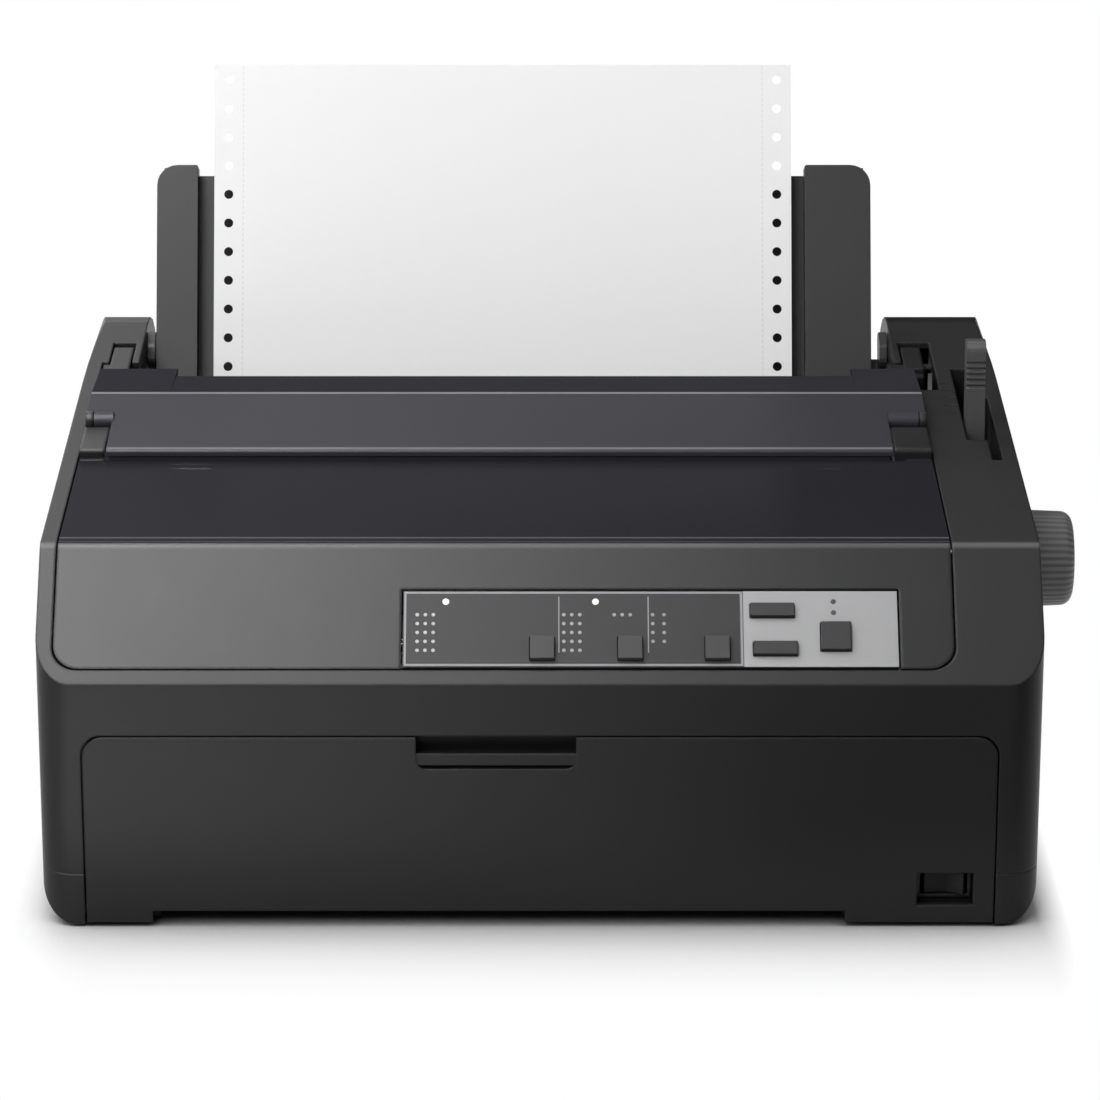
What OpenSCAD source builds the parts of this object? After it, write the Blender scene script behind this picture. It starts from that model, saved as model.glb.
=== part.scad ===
// Desktop dot matrix printer: X across the machine, Y from front to rear, Z up from the table.

/* [Case] */
// Width of the case, without the platen knob
case_w = 390; // [384:1:400]
// Depth of the case
case_d = 350; // [348:1:360]
// Height of the ridge above the front face
ridge_z = 100; // [99:0.5:103]
// Height of the crease where the slope meets the top
crease_z = 144.5; // [144:0.5:147]
// Distance of that crease behind the front face
crease_y = 40; // [38:0.5:44]
// Height of the top at the rear towers
rear_top_z = 165; // [164:0.5:168]
// Wall thickness of the case mouldings
wall = 2.8; // [2.4:0.1:3.2]
// Radius of the upright corners
corner_r = 14; // [10:1:16]
// Height of the seam between the two case halves
seam_z = 22; // [21:0.5:24]

/* [Covers] */
// Width of the case strip left of the printer cover
left_strip = 7; // [6:0.5:8]
// Width of the deck right of the printer cover
deck_w = 35; // [33:0.5:36]
// Thickness of the printer cover and its window
cover_t = 2.5; // [2:0.1:2.8]
// Rear edge of the smoked window
window_y = 130; // [120:1:130]
// Highest point of the paper eject cover
eject_z = 163.5; // [163:0.5:166]
// Height of the front cover
front_cover_h = 76.7; // [72:0.1:78.7]
// Width of the front cover
front_cover_w = 354; // [346:1:358]
// Thickness of the front cover
front_cover_t = 3; // [2.4:0.1:3.2]
// Gap between a cover and the case around it
cover_gap = 0.7; // [0.5:0.1:1]

/* [Paper path] */
// Width of the fanfold paper
paper_w = 254; // [241.3:0.1:254]
// Pitch of the sprocket holes in the paper
pin_pitch = 12.7; // [12.7]
// Number of pins on a tractor sprocket
sprocket_pins = 6; // [6]
// Lean of the paper and its guide from upright, in degrees
lean = 21.4; // [20:0.2:23]
// Diameter of the platen roller
platen_d = 32.3; // [31:0.1:32.4]
// Diameter of the platen shaft
shaft_d = 8; // [7:0.5:9]
// Diameter of the carriage shaft
carriage_shaft_d = 12; // [10:0.5:12]
// Height of the raised paper guide above the table
guide_top_z = 233; // [225:1:240]

/* [Controls] */
// Diameter of the platen knob
knob_d = 41.5; // [38:0.5:43]
// How far the knob stands out of the case
knob_out = 30; // [26:1:32]
// Height of the release lever above the deck
lever_h = 34; // [30:1:40]
// Side of a square push button
button_side = 9.4; // [8.6:0.2:10]
// Width of a wide push button
button_wide = 17; // [15:0.5:18]

/* [Gears] */
// Module of the feed gears
gear_module = 1; // [1]
// Width of the gear teeth
gear_w = 6; // [5:0.5:7]

/* [Hidden] */
$fn = 48;
eps = 0.01;

// Case frame
half_w = case_w / 2;
cover_x0 = -half_w + left_strip;
cover_x1 = half_w - deck_w;
feed_x = (cover_x0 + cover_x1) / 2 - 2.4;
slope_a = atan2(crease_z - ridge_z, crease_y);
slope_len = norm([crease_y, crease_z - ridge_z]);
rear_top_y = case_d - 50;
top_a = atan2(rear_top_z - crease_z, rear_top_y - crease_y);
tower_l = 22;
tower_r = 42;
tower_l_x = -half_w + tower_l;
tower_r_x = half_w - tower_r;
tower_y = 274;
rear_wall_z = 106;
floor_z = 7;
floor_t = 2.5;
foot_z = 1;
runner_l = 46;
runner_r = 76.5;
origin_x = knob_out / 2;
origin_y = case_d / 2;

// Hinge lines, as [y, z]
cover_hinge = [262, crease_z + (262 - crease_y) * tan(top_a) - 7.5];
eject_hinge = [window_y + 35, eject_z - 4.9];
front_hinge = [3.7, 6.6];
front_cover_z0 = 1.8;
front_top = front_cover_z0 + front_cover_h;
hinge_r = 2;
hinge_gap = 0.06;

// Platen, paper plane and tractor line
platen_c = [190, 91];
platen_r = platen_d / 2;
paper_t = 0.2;
paper_y0 = 283.9;
paper_z0 = 149.6;
paper_top = 274;
sprocket_r = sprocket_pins * pin_pitch / (2 * PI);
function on_paper(z, back = 0) =
    [paper_y0 + (z - paper_z0) * tan(lean) + back * cos(lean), z - back * sin(lean)];
tractor_z = 128;
tractor_c = on_paper(tractor_z, sprocket_r + 1);
hub_r = 5.9;
hole_edge = 6.35;
hole_x = paper_w / 2 - hole_edge;

// Frames and gear train
frame_t = 1.6;
frame_room = 23;
frame_half = paper_w / 2 + frame_room;
base_z = 12;
base_y0 = 30;
base_y1 = case_d - 15;
frame_l_x = feed_x - frame_half;
frame_r_x = feed_x + frame_half;
gear_x = frame_l_x - 4 - gear_w;
platen_teeth = 40;
idler_teeth = 70;
tractor_teeth = 30;
pinion_teeth = 15;
r_platen_gear = platen_teeth * gear_module / 2;
r_idler = idler_teeth * gear_module / 2;
r_tractor_gear = tractor_teeth * gear_module / 2;
r_pinion = pinion_teeth * gear_module / 2;
// Centre that lies a from p and b from q, on the left of the line from p to q
function meet(p, a, q, b) =
    let (d = norm(q - p), u = (q - p) / d, s = (d * d + a * a - b * b) / (2 * d), h = sqrt(a * a - s * s))
    p + s * u + h * [u[1], -u[0]];
idler_c = meet(platen_c, r_platen_gear + r_idler, tractor_c, r_idler + r_tractor_gear);
motor_a = -84;
pinion_c = idler_c + (r_idler + r_pinion) * [cos(motor_a), sin(motor_a)];

// Print head and carriage
carriage_c = [140, 66];
home_x = feed_x - frame_half + 38;
head_w = 36;
belt_y = 96;
belt_z = 54;
belt_r = 8;
belt_x0 = frame_l_x + 16;
belt_x1 = frame_r_x - 17;
ribbon_z = 111;
rail_y = 112;

// Controls on the slope
panel_x0 = -53;
panel_x1 = 138.4;
panel_split = 78.7;
panel_t0 = 7.4;
panel_t1 = 39.6;
button_h = 2.2;
wide_h = 5.4;

// ---------- shared shapes ----------

// Points of a corner b between a and c, rounded to radius r with n chords
function corner(a, b, c, r, n) =
    r <= 0 ? [b] :
    let (u = (a - b) / norm(a - b), v = (c - b) / norm(c - b), half = acos(u * v) / 2,
        m = b + (u + v) / norm(u + v) * r / sin(half), s = b + u * r / tan(half) - m,
        e = b + v * r / tan(half) - m, a0 = atan2(s[1], s[0]), raw = atan2(e[1], e[0]) - a0,
        turn = raw > 180 ? raw - 360 : raw < -180 ? raw + 360 : raw)
    [for (i = [0:n]) m + r * [cos(a0 + turn * i / n), sin(a0 + turn * i / n)]];

// A polygon whose corners are rounded by radii
function rounded(pts, radii, n = 6) =
    let (k = len(pts))
    [for (i = [0:k - 1]) each corner(pts[(i + k - 1) % k], pts[i], pts[(i + 1) % k], radii[i], n)];

// A counter-clockwise polygon moved inwards by d
function inset(pts, d) =
    let (k = len(pts))
    [for (i = [0:k - 1])
        let (p = pts[(i + k - 1) % k], b = pts[i], q = pts[(i + 1) % k],
            u = (b - p) / norm(b - p), v = (q - b) / norm(q - b), m = [-u[1], u[0]], w = [-v[1], v[0]])
        b + (m + w) * d / (1 + m * w)];

// Rectangle with rounded corners from [x0, y0] to [x1, y1]
module rect_r(x0, y0, x1, y1, r) {
    translate([x0 + r, y0]) square([x1 - x0 - 2 * r, y1 - y0]);
    translate([x0, y0 + r]) square([x1 - x0, y1 - y0 - 2 * r]);
    for (x = [x0 + r, x1 - r], y = [y0 + r, y1 - r]) translate([x, y]) circle(r);
}

// Draws its YZ outline from x0 over a length along X
module along_x(x0, length) {
    translate([x0, 0, 0]) rotate([90, 0, 90]) linear_extrude(length) children();
}

// Draws its XZ outline from y0 over a length along Y
module along_y(y0, length) {
    translate([0, y0 + length, 0]) rotate([90, 0, 0]) linear_extrude(length) children();
}

// Moves children from the case frame to the middle of the footprint
module at_origin() {
    translate([-origin_x, -origin_y, 0]) children();
}

module rod_x(x0, length, r, c) {
    translate([x0, c[0], c[1]]) rotate([0, 90, 0]) cylinder(h = length, r = r);
}

module block(a, b) {
    translate(a) cube(b - a);
}

// Places children on the front slope: x across, y up the slope, z outwards
module on_slope(t = 0, x = 0) {
    translate([x, 0, ridge_z]) rotate([slope_a, 0, 0]) translate([0, t, 0]) children();
}

// Places children in the plane of the paper at pivot height: y is out behind it, z runs up it
module on_lean(z) {
    translate([0, on_paper(z)[0], z]) rotate([-lean, 0, 0]) children();
}

function top_z(y) = crease_z + (y - crease_y) * tan(top_a);

// Spur gear outline with teeth centred on angle a0
module gear_2d(teeth, a0 = 0) {
    r = teeth * gear_module / 2;
    base = r * cos(20);
    inv_pitch = tan(20) - 20 * PI / 180;
    function inv_at(q) = let (g = acos(min(1, base / q))) tan(g) - g * PI / 180;
    half_tooth = 90 / teeth - 1.4 / r;
    rs = [max(base, r - 1.2 * gear_module), r - 0.4 * gear_module, r, r + 0.45 * gear_module,
        r + 0.9 * gear_module];
    function half_at(q) = half_tooth + (inv_pitch - inv_at(q)) * 180 / PI;
    root = r - 1.3 * gear_module;
    pts = [for (k = [0:teeth - 1])
        let (c = a0 + k * 360 / teeth, w = half_at(rs[0]))
        each [root * [cos(c - w), sin(c - w)],
            for (q = rs) q * [cos(c - half_at(q)), sin(c - half_at(q))],
            for (i = [4:-1:0]) rs[i] * [cos(c + half_at(rs[i])), sin(c + half_at(rs[i]))],
            root * [cos(c + w), sin(c + w)]]];
    polygon(pts);
}

// Phase that puts a gear of n2 teeth at c2 in mesh with one of n1 teeth at c1 and phase p1
function mesh_phase(c1, n1, p1, c2, n2) =
    let (d = c2 - c1, phi = atan2(d[1], d[0]), f = (phi - p1) * n1 / 360)
    phi + 180 - (0.5 - (f - floor(f))) * 360 / n2;

idler_phase = mesh_phase(platen_c, platen_teeth, 0, idler_c, idler_teeth);
tractor_phase = mesh_phase(idler_c, idler_teeth, idler_phase, tractor_c, tractor_teeth);
pinion_phase = mesh_phase(idler_c, idler_teeth, idler_phase, pinion_c, pinion_teeth);

module gear(teeth, c, phase, bore) {
    translate([gear_x, c[0], c[1]]) rotate([90, 0, 90])
        difference() {
            union() {
                linear_extrude(gear_w) gear_2d(teeth, phase);
                cylinder(h = gear_w + 1.5, r = bore + 3);
            }
            translate([0, 0, -1]) cylinder(h = gear_w + 4, r = bore);
        }
}

// ---------- case ----------

// Side outline of the case above the seam, counter-clockwise in YZ
case_side = [[0, seam_z], [case_d, seam_z], [case_d, rear_top_z + 3.3], [rear_top_y, rear_top_z],
    [crease_y, crease_z], [0, ridge_z]];
case_side_r = [0, 0, 46, 0, 5, 1.5];

module case_body(d) {
    side = inset(case_side, d);
    intersection() {
        along_x(-half_w + d, case_w - 2 * d)
            polygon(rounded([for (p = side) p[1] < seam_z + d + 1 ? [p[0], seam_z - (d > 0 ? 1 : 0)] : p],
                [for (r = case_side_r) max(r > 0 ? 0.5 : 0, r - d)]));
        translate([0, 0, -1]) linear_extrude(300)
            rect_r(-half_w + d, d, half_w - d, case_d - d, corner_r - d);
        // Rounded shoulders at the rear
        along_y(-1, case_d + 2)
            rect_r(-half_w + d, -20, half_w - d, rear_top_z + shoulder_rise - d, shoulder_r - d);
    }
}

shoulder_r = 8;
shoulder_rise = 2;

// The opening for the printer cover, square to the slope and then open to the rear
module cover_opening() {
    on_slope() intersection() {
        translate([0, 0, -12]) linear_extrude(30)
            rect_r(cover_x0 - cover_gap, 6.8 - cover_gap, cover_x1 + cover_gap, slope_len + 60, 10);
        translate([-half_w, 0, -12]) cube([case_w, slope_len + 4, 30]);
    }
    block([cover_x0 - cover_gap, crease_y - 6, 126], [cover_x1 + cover_gap, deck_y, 200]);
    // Notches in which the rear tabs turn
    block([tab_l_x0 - tab_gap, deck_y - 4, 126], [tab_l_x0 + tab_w + tab_gap, tower_y, 200]);
    block([tab_r_x0 - tab_gap, 214, 126], [tab_r_x0 + tab_w + tab_slot, tower_y, 200]);
    block([tower_l_x, deck_y - 4, rear_wall_z], [tower_r_x, case_d + 1, 200]);
}

slot_x0 = half_w - 18.8;
slot_x1 = half_w - 9;
slot_y0 = 154;
slot_y1 = 240;
groove_x0 = half_w - 10.4;
groove_x1 = half_w - 6.1;
groove_y0 = 131;
groove_y1 = 204;

// Outline of the front cover, square below and rounded above
module front_outline(gap) {
    x = front_cover_w / 2 + gap;
    rect_r(-x, front_top - 30, x, front_top + gap, 8);
    translate([-x, front_cover_z0 - gap]) square([2 * x, front_top - front_cover_z0 - 10]);
}

module front_recess(d, gap) {
    along_y(-1, d + 1)
        front_outline(gap);
}

module upper_case() {
    at_origin() color("#2b2c2e") difference() {
        union() {
            difference() {
                case_body(0);
                case_body(wall);
                cover_opening();
                front_recess(front_cover_t + 0.5, cover_gap);
                // Front paper entrance behind the front cover
                block([-front_cover_w / 2 + 10, -1, seam_z - 1], [front_cover_w / 2 - 10, wall + 5, 70]);
                // Cooling slots in the left side
                for (i = [0:9]) block([-half_w - 1, 120 + i * 14, 40], [-half_w + 10, 126 + i * 14, 88]);
            }
            // Walls behind the front recess
            difference() {
                block([-front_cover_w / 2 - 6, front_cover_t + 0.6, seam_z],
                    [front_cover_w / 2 + 6, front_cover_t + 0.5 + wall, 90]);
                block([-front_cover_w / 2 + 10, 0, seam_z - 1], [front_cover_w / 2 - 10, 12, 70]);
                block([grip_x - grip_w / 2 - 4, 0, 60], [grip_x + grip_w / 2 + 4, 12, front_top + cover_gap]);
            }
            // Inner walls of the rear towers and bearing blocks of the cover hinge
            intersection() {
                case_body(0.5);
                union() {
                    for (x = [tower_l_x - wall, tower_r_x]) block([x, deck_y + 1.6, 141], [x + wall,
                        case_d, 200]);
                    block([-half_w, deck_y + 1, 140], [tab_l_x0 - tab_gap, tower_y - 2, 200]);
                    block([tab_r_x0 + tab_w + tab_slot, deck_y + 1, 140],
                        [tab_r_x0 + tab_w + tab_slot + 6, tower_y - 2, 200]);
                    // Walls of the lever slot
                    block([slot_x0 - 2, slot_y0 - 2, 138], [half_w - wall + 0.2, slot_y1 + 2, 200]);
                    block([groove_x0 - 2, groove_y0 - 2, 138], [half_w - wall + 0.2, groove_y1, 200]);
                }
            }
        }
        // Slot of the release lever
        block([slot_x0, slot_y0, 120], [slot_x1, slot_y1, 200]);
        block([groove_x0, groove_y0, 120], [groove_x1, groove_y1, 200]);
        // Knob shaft hole
        rod_x(half_w - 10, 20, shaft_d / 2 + 3, platen_c);
        // Windows for the rear connectors
        block([port_x0, case_d - 10, port_z0], [port_x1, case_d + 1, port_z1]);
        block([inlet_x0, case_d - 10, port_z0], [inlet_x1, case_d + 1, port_z1]);
        // Bores of the cover hinge and of the paper guide
        rod_x(tab_l_x0 - tab_gap - 3.2, tab_w + 2 * tab_gap + 8, hinge_r + hinge_gap, cover_hinge);
        rod_x(tab_r_x0 - tab_gap - wall - 1, tab_w + tab_gap + tab_slot + wall + 4.4,
            hinge_r + hinge_gap, cover_hinge);
        rod_x(tower_l_x - wall - 1, wall + 2, hinge_r + hinge_gap, guide_pivot);
        rod_x(tower_r_x - 1, wall + 2, hinge_r + hinge_gap, guide_pivot);
        // Graduations beside the lever
        for (i = [0:4]) translate([slot_x0 - 5.8, 186 + i * 9, top_z(186 + i * 9) - 0.5]) cube([5, 1.2, 4]);
    }
}

module lower_case() {
    at_origin() color("#262729") difference() {
        union() {
            difference() {
                intersection() {
                    along_y(0, case_d) difference() {
                        rect_r(-half_w, foot_z, half_w, 60, 15);
                        translate([-half_w - 1, seam_z]) square([case_w + 2, 60]);
                        translate([-half_w + runner_l, 0]) square([case_w - runner_l - runner_r, floor_z]);
                    }
                    linear_extrude(60) rect_r(-half_w, 0, half_w, case_d, corner_r);
                }
                // Inside of the tray
                intersection() {
                    along_y(wall, case_d - 2 * wall)
                        rect_r(-half_w + wall, floor_z + floor_t, half_w - wall, 60, 9);
                    linear_extrude(60) rect_r(-half_w + wall, wall, half_w - wall, case_d - wall,
                        corner_r - wall);
                }
                // Hollow runners below
                block([-half_w + 16, 16, -1], [-half_w + runner_l - 3, case_d - 16, floor_z]);
                block([half_w - runner_r + 3, 16, -1], [half_w - 16, case_d - 16, floor_z]);
                // Front cover recess and the room in which its lower edge turns
                front_recess(front_cover_t + 0.5, cover_gap);
                block([-front_cover_w / 2 - cover_gap, -1, -1],
                    [front_cover_w / 2 + cover_gap, front_room, seam_z + 1]);
            }
            // Wall behind the front cover
            block([-front_cover_w / 2 - 1.5, front_room, floor_z], [front_cover_w / 2 + 1.5,
                front_room + 2.5, seam_z]);
            // Bearing bosses of the front hinge, in the corners of the tray
            for (x = [-front_cover_w / 2 - cover_gap - boss_w, front_cover_w / 2 + cover_gap])
                block([x, 1.3, front_hinge[1] - 3.4], [x + boss_w, front_room + 1, front_hinge[1] + 4.4]);
            // Screw bosses
            for (p = boss_at) translate([p[0], p[1], floor_z + 1]) cylinder(h = 11 - floor_z, r = 4.5);
        }
        for (p = boss_at) translate([p[0], p[1], floor_z + 1]) cylinder(h = 20, r = 1.6);
        for (s = [-1, 1]) rod_x(s * (front_cover_w / 2 + 3.2) - 3.2, 6.4, hinge_r + hinge_gap, front_hinge);
        block([switch_x0, 0, switch_z0], [switch_x1, 30, seam_z + 1]);
    }
}

boss_at = [for (y = [base_y0 + 30, base_y1 - 35], x = [frame_l_x + 16.4, frame_r_x - 13.6]) [x, y]];
front_room = front_hinge[0] + 5.4;
boss_w = 7.6;
psu_x0 = frame_l_x + 34.4;
psu_x1 = psu_x0 + 88;
board_x0 = psu_x1 + 10;
board_x1 = frame_r_x - 7.6;
board_y1 = case_d - 24;
board_y0 = board_y1 - 104;
port_x1 = board_x1 + 4;
port_x0 = port_x1 - 90;
inlet_x0 = psu_x0 - 18;
inlet_x1 = inlet_x0 + 32;
port_z0 = 28;
port_z1 = 52;
deck_y = 249;
tab_gap = 0.8;
tab_slot = 4.4;

module rubber_feet() {
    at_origin() color("#111111") for (x = [-half_w + 29.5, half_w - 29.5], y = [34, case_d - 34])
        translate([x, y, 0]) difference() {
            linear_extrude(floor_z) rect_r(-12, -9, 12, 9, 3);
            translate([0, 0, -1]) cylinder(h = 3, r = 2.5);
        }
}

module case_screws() {
    at_origin() color("#8a8d90") for (p = boss_at) translate([p[0], p[1], 0]) difference() {
        union() {
            translate([0, 0, base_z + frame_t]) cylinder(h = 2.2, r = 3);
            translate([0, 0, 8.6]) cylinder(h = 6, r = 1.55);
        }
        // Cross recess
        for (a = [0, 90]) rotate(a) translate([-1.8, -0.35, 14.6]) cube([3.6, 0.7, 2]);
    }
}

// ---------- frame ----------

module base_frame() {
    at_origin() color("#9a9da0") difference() {
        block([frame_l_x, base_y0, base_z], [frame_r_x, base_y1, base_z + frame_t]);
        for (p = boss_at) translate([p[0], p[1], 5]) cylinder(h = 20, r = 1.7);
        for (x = [feed_x - 83.6, feed_x + 16.4])
            block([x, base_y0 + 10, 5], [x + 70, base_y0 + 40, 30]);
    }
}

frame_y1 = case_d - 7;
frame_side = rounded([[base_y0 + 10, base_z + frame_t], [frame_y1, base_z + frame_t], [frame_y1, 60],
    tractor_c + [20, -23], tractor_c + [16, 11], tractor_c + [-16, 11], tractor_c + [-26, -1],
    platen_c + [-32, 31], platen_c + [-42, 9], [90, 95], [84, ribbon_z], [66, ribbon_z], [60, 92],
    [base_y0 + 10, 60]],
    [2, 2, 6, 8, 6, 6, 6, 6, 8, 3, 1, 1, 3, 8]);

module side_frame(x) {
    at_origin() color("#a3a6a8") difference() {
        along_x(x, frame_t) polygon(frame_side);
        rod_x(x - 1, frame_t + 2, 8, platen_c);
        rod_x(x - 1, frame_t + 2, carriage_shaft_d / 2, carriage_c);
        rod_x(x - 1, frame_t + 2, 3 + hinge_gap, tractor_c);
        rod_x(x - 1, frame_t + 2, 4, guide_shaft_c);
        children();
    }
}

guide_shaft_c = tractor_c + [10, -26];

module left_side_frame() {
    side_frame(frame_l_x) {
        rod_x(frame_l_x - 1, frame_t + 2, 3, idler_c);
        rod_x(frame_l_x - 1, frame_t + 2, 6, pinion_c);
        block([frame_l_x - 1, 80, 34], [frame_l_x + 5, 112, 56]);
    }
}

module right_side_frame() {
    side_frame(frame_r_x - frame_t) {
        block([frame_r_x - 5, 230, 34], [frame_r_x + 5, 290, 84]);
        rod_x(frame_r_x - 5, 10, 3 + hinge_gap, lever_c);
    }
}

module frame_stay() {
    at_origin() color("#a3a6a8") along_x(frame_l_x + frame_t, 2 * frame_half - 2 * frame_t)
        polygon([[62, 62], [86, 62], [86, 63.6], [63.6, 63.6], [63.6, 86], [62, 86]]);
}

// ---------- covers ----------

rail_w = 10;

module cover_plate_2d() {
    difference() {
        rect_r(cover_x0, 6.8, cover_x1, slope_len + 30, 10);
        translate([panel_x0 - cover_gap, -1]) square([panel_x1 - panel_x0 + 2 * cover_gap,
            panel_t1 + cover_gap + 1]);
        translate([-half_w, slope_len + 2]) square([case_w, 60]);
    }
}

// Side rail below the window, outline in YZ
rail_side = [[crease_y + 3, top_z(crease_y) - cover_t - 12], [deck_y - 2.2, top_z(deck_y) - 15],
    [deck_y - 2.2, top_z(deck_y) - 0.6],
    [window_y, top_z(window_y) - 0.6], [window_y, top_z(window_y) - cover_t], [crease_y + 1,
        top_z(crease_y + 1) - cover_t]];

module printer_cover() {
    at_origin() color("#3a3b3d") difference() {
        union() {
            // Sloping front with its rolled upper edge
            difference() {
                union() {
                    on_slope() translate([0, 0, -cover_t]) linear_extrude(cover_t) cover_plate_2d();
                    along_x(cover_x0, cover_x1 - cover_x0) polygon([[crease_y - 5, crease_z - 10],
                        [crease_y + 3, crease_z - 10], [crease_y + 3, top_z(crease_y + 1) - cover_t],
                        [crease_y + 1, top_z(crease_y + 1) - cover_t], [crease_y + 1, top_z(crease_y + 1)],
                        [crease_y, crease_z], [crease_y - 5, crease_z - 5 * tan(slope_a)]]);
                }
                along_x(-half_w, case_w) polygon([[crease_y + 1, top_z(crease_y + 1) - cover_t],
                    [crease_y + 9, top_z(crease_y + 9) - cover_t], [crease_y + 9, crease_z + 9],
                        [crease_y + 1, crease_z + 9]]);
                along_x(-half_w, case_w)
                    polygon([[crease_y - 3, crease_z + 2], for (p = corner([0, ridge_z], [crease_y,
                        crease_z],
                        [rear_top_y, rear_top_z], 5, 6)) p, [crease_y + 6, crease_z + 4]]);
            }
            // Side rails with their rear tabs
            for (x = [cover_x0, cover_x1 - rail_w]) along_x(x, rail_w) polygon(rail_side);
            for (x = [tab_l_x0, tab_r_x0]) along_x(x, tab_w) polygon(rounded(
                [[deck_y - 9, top_z(262) - 14], [262, top_z(262) - 14], [270, top_z(262) - 8],
                [270, top_z(270) - 0.4], [deck_y - 9, top_z(deck_y) - 0.6]], [0, 3, 3, 1.5, 0], 4));
            block([cover_x1 - rail_w, deck_y - 11, top_z(262) - 13], [tab_r_x0 + tab_w, deck_y - 5,
                top_z(deck_y) - 3.5]);
            // Stub axles of the hinge
            rod_x(tab_l_x0 - tab_gap - 3, tab_w + 2 * tab_gap + 5.6, hinge_r, cover_hinge);
            rod_x(tab_r_x0 - tab_gap - 2.6, tab_w + tab_gap + tab_slot + 5.6, hinge_r, cover_hinge);
            // Seats and lugs of the eject cover
            for (s = [[cover_x0, 10.2], [cover_x1 - 15.2, 15.2]])
                along_x(s[0], s[1]) polygon(rounded([[window_y + 2, top_z(window_y) - 4],
                    [eject_hinge[0] - 5, top_z(window_y) - 4], [eject_hinge[0] - 5, eject_hinge[1] - 1],
                    [window_y + 2, top_z(window_y) + 4.4]], [0, 0, 1, 1.5], 4));
            for (x = [cover_x0, cover_x1 - 3]) {
                rod_x(x, 3, 4, eject_hinge);
                block([x, eject_hinge[0] - 4, top_z(eject_hinge[0]) - 6], [x + 3, eject_hinge[0] + 4,
                    eject_hinge[1]]);
            }
            rod_x(cover_x0, 10.5, hinge_r - 0.4, eject_hinge);
            rod_x(cover_x1 - 15.2, 15.2, hinge_r - 0.4, eject_hinge);
        }
    }
}

tab_w = 8.4;
tab_l_x0 = tower_l_x - wall - 0.9 - tab_w;
tab_r_x0 = tower_r_x + wall + 0.9;

module cover_window() {
    at_origin() color("#1c1c22", 0.75) along_x(cover_x0, cover_x1 - cover_x0)
        polygon([[crease_y + 1.05, top_z(crease_y + 1) - cover_t + 0.02], [window_y - 0.05,
            top_z(window_y) - cover_t + 0.02],
            [window_y - 0.05, top_z(window_y)], [crease_y + 1.05, top_z(crease_y + 1)]]);
}

// Paper eject cover, drawn as a bent plate with an end wall at each side
eject_t = 2.2;
eject_y1 = window_y + 92;
eject_y2 = window_y + 104;
eject_ridge_y = window_y + 60;
lip_z = top_z(window_y) + 4.1;
barrel_r = 3.8;

module eject_plate(x0, x1, y1) {
    along_x(x0, x1 - x0) polygon(rounded([[window_y + 1, lip_z - 2.6], [window_y + 3, lip_z - 2.6],
        [eject_ridge_y, eject_z - eject_t], [y1, eject_z - eject_t - 1.4], [y1, eject_z - 1.2],
        [eject_ridge_y, eject_z + 0.2], [window_y + 1, lip_z]],
        [0.3, 0, 0, 0.6, 1, 7, 1.2], 4));
}

module eject_cover() {
    at_origin() color("#2c2b33", 0.95) difference() {
        union() {
            difference() {
                union() {
                    eject_plate(cover_x0, cover_x1, eject_y1);
                    for (s = [[cover_x0, cover_x0 + 33], [cover_x1 - 27, cover_x1]]) eject_plate(s[0],
                        s[1], eject_y2);
                    // Flange below the lip
                    along_x(cover_x0 + 12, cover_x1 - cover_x0 - 29) polygon([[window_y + 2.4, lip_z - 5.9],
                        [window_y + 4, lip_z - 5.9], [window_y + 4, lip_z - 1], [window_y + 2.4,
                            lip_z - 1]]);
                    // End walls below the plate, behind the hinges
                    for (x = [cover_x0 + 4, cover_x1 - 6]) along_x(x, 2)
                        polygon([[eject_hinge[0] + 6, top_z(eject_hinge[0]) + 1], [eject_y1 - 6,
                            top_z(eject_y1) + 0.4],
                            [eject_y1 - 6, eject_z - 2], [eject_ridge_y, eject_z - 1],
                            [eject_hinge[0] + 6, eject_z - 3.2]]);
                }
                // Notches round the hinge blocks
                block([cover_x0 - 1, window_y, 140], [cover_x0 + 11, eject_hinge[0] - 1.5, 170]);
                block([cover_x1 - 16, window_y, 140], [cover_x1 + 1, eject_hinge[0] - 1.5, 170]);
                block([cover_x0 - 1, window_y, 140], [cover_x0 + 3.4, eject_hinge[0] + 5, 170]);
                block([cover_x1 - 3.4, window_y, 140], [cover_x1 + 1, eject_hinge[0] + 5, 170]);
            }
            // Barrels of the hinge
            for (s = [[cover_x0 + 3.4, 8], [cover_x1 - 16, 12.6]]) rod_x(s[0], s[1], barrel_r, eject_hinge);
        }
        for (s = [[cover_x0 - 1, 12], [cover_x1 - 15.6, 16.6]])
            rod_x(s[0], s[1], hinge_r - 0.4 + hinge_gap, eject_hinge);
    }
}

grip_x = feed_x - 0.6;
grip_w = 62;

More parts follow.
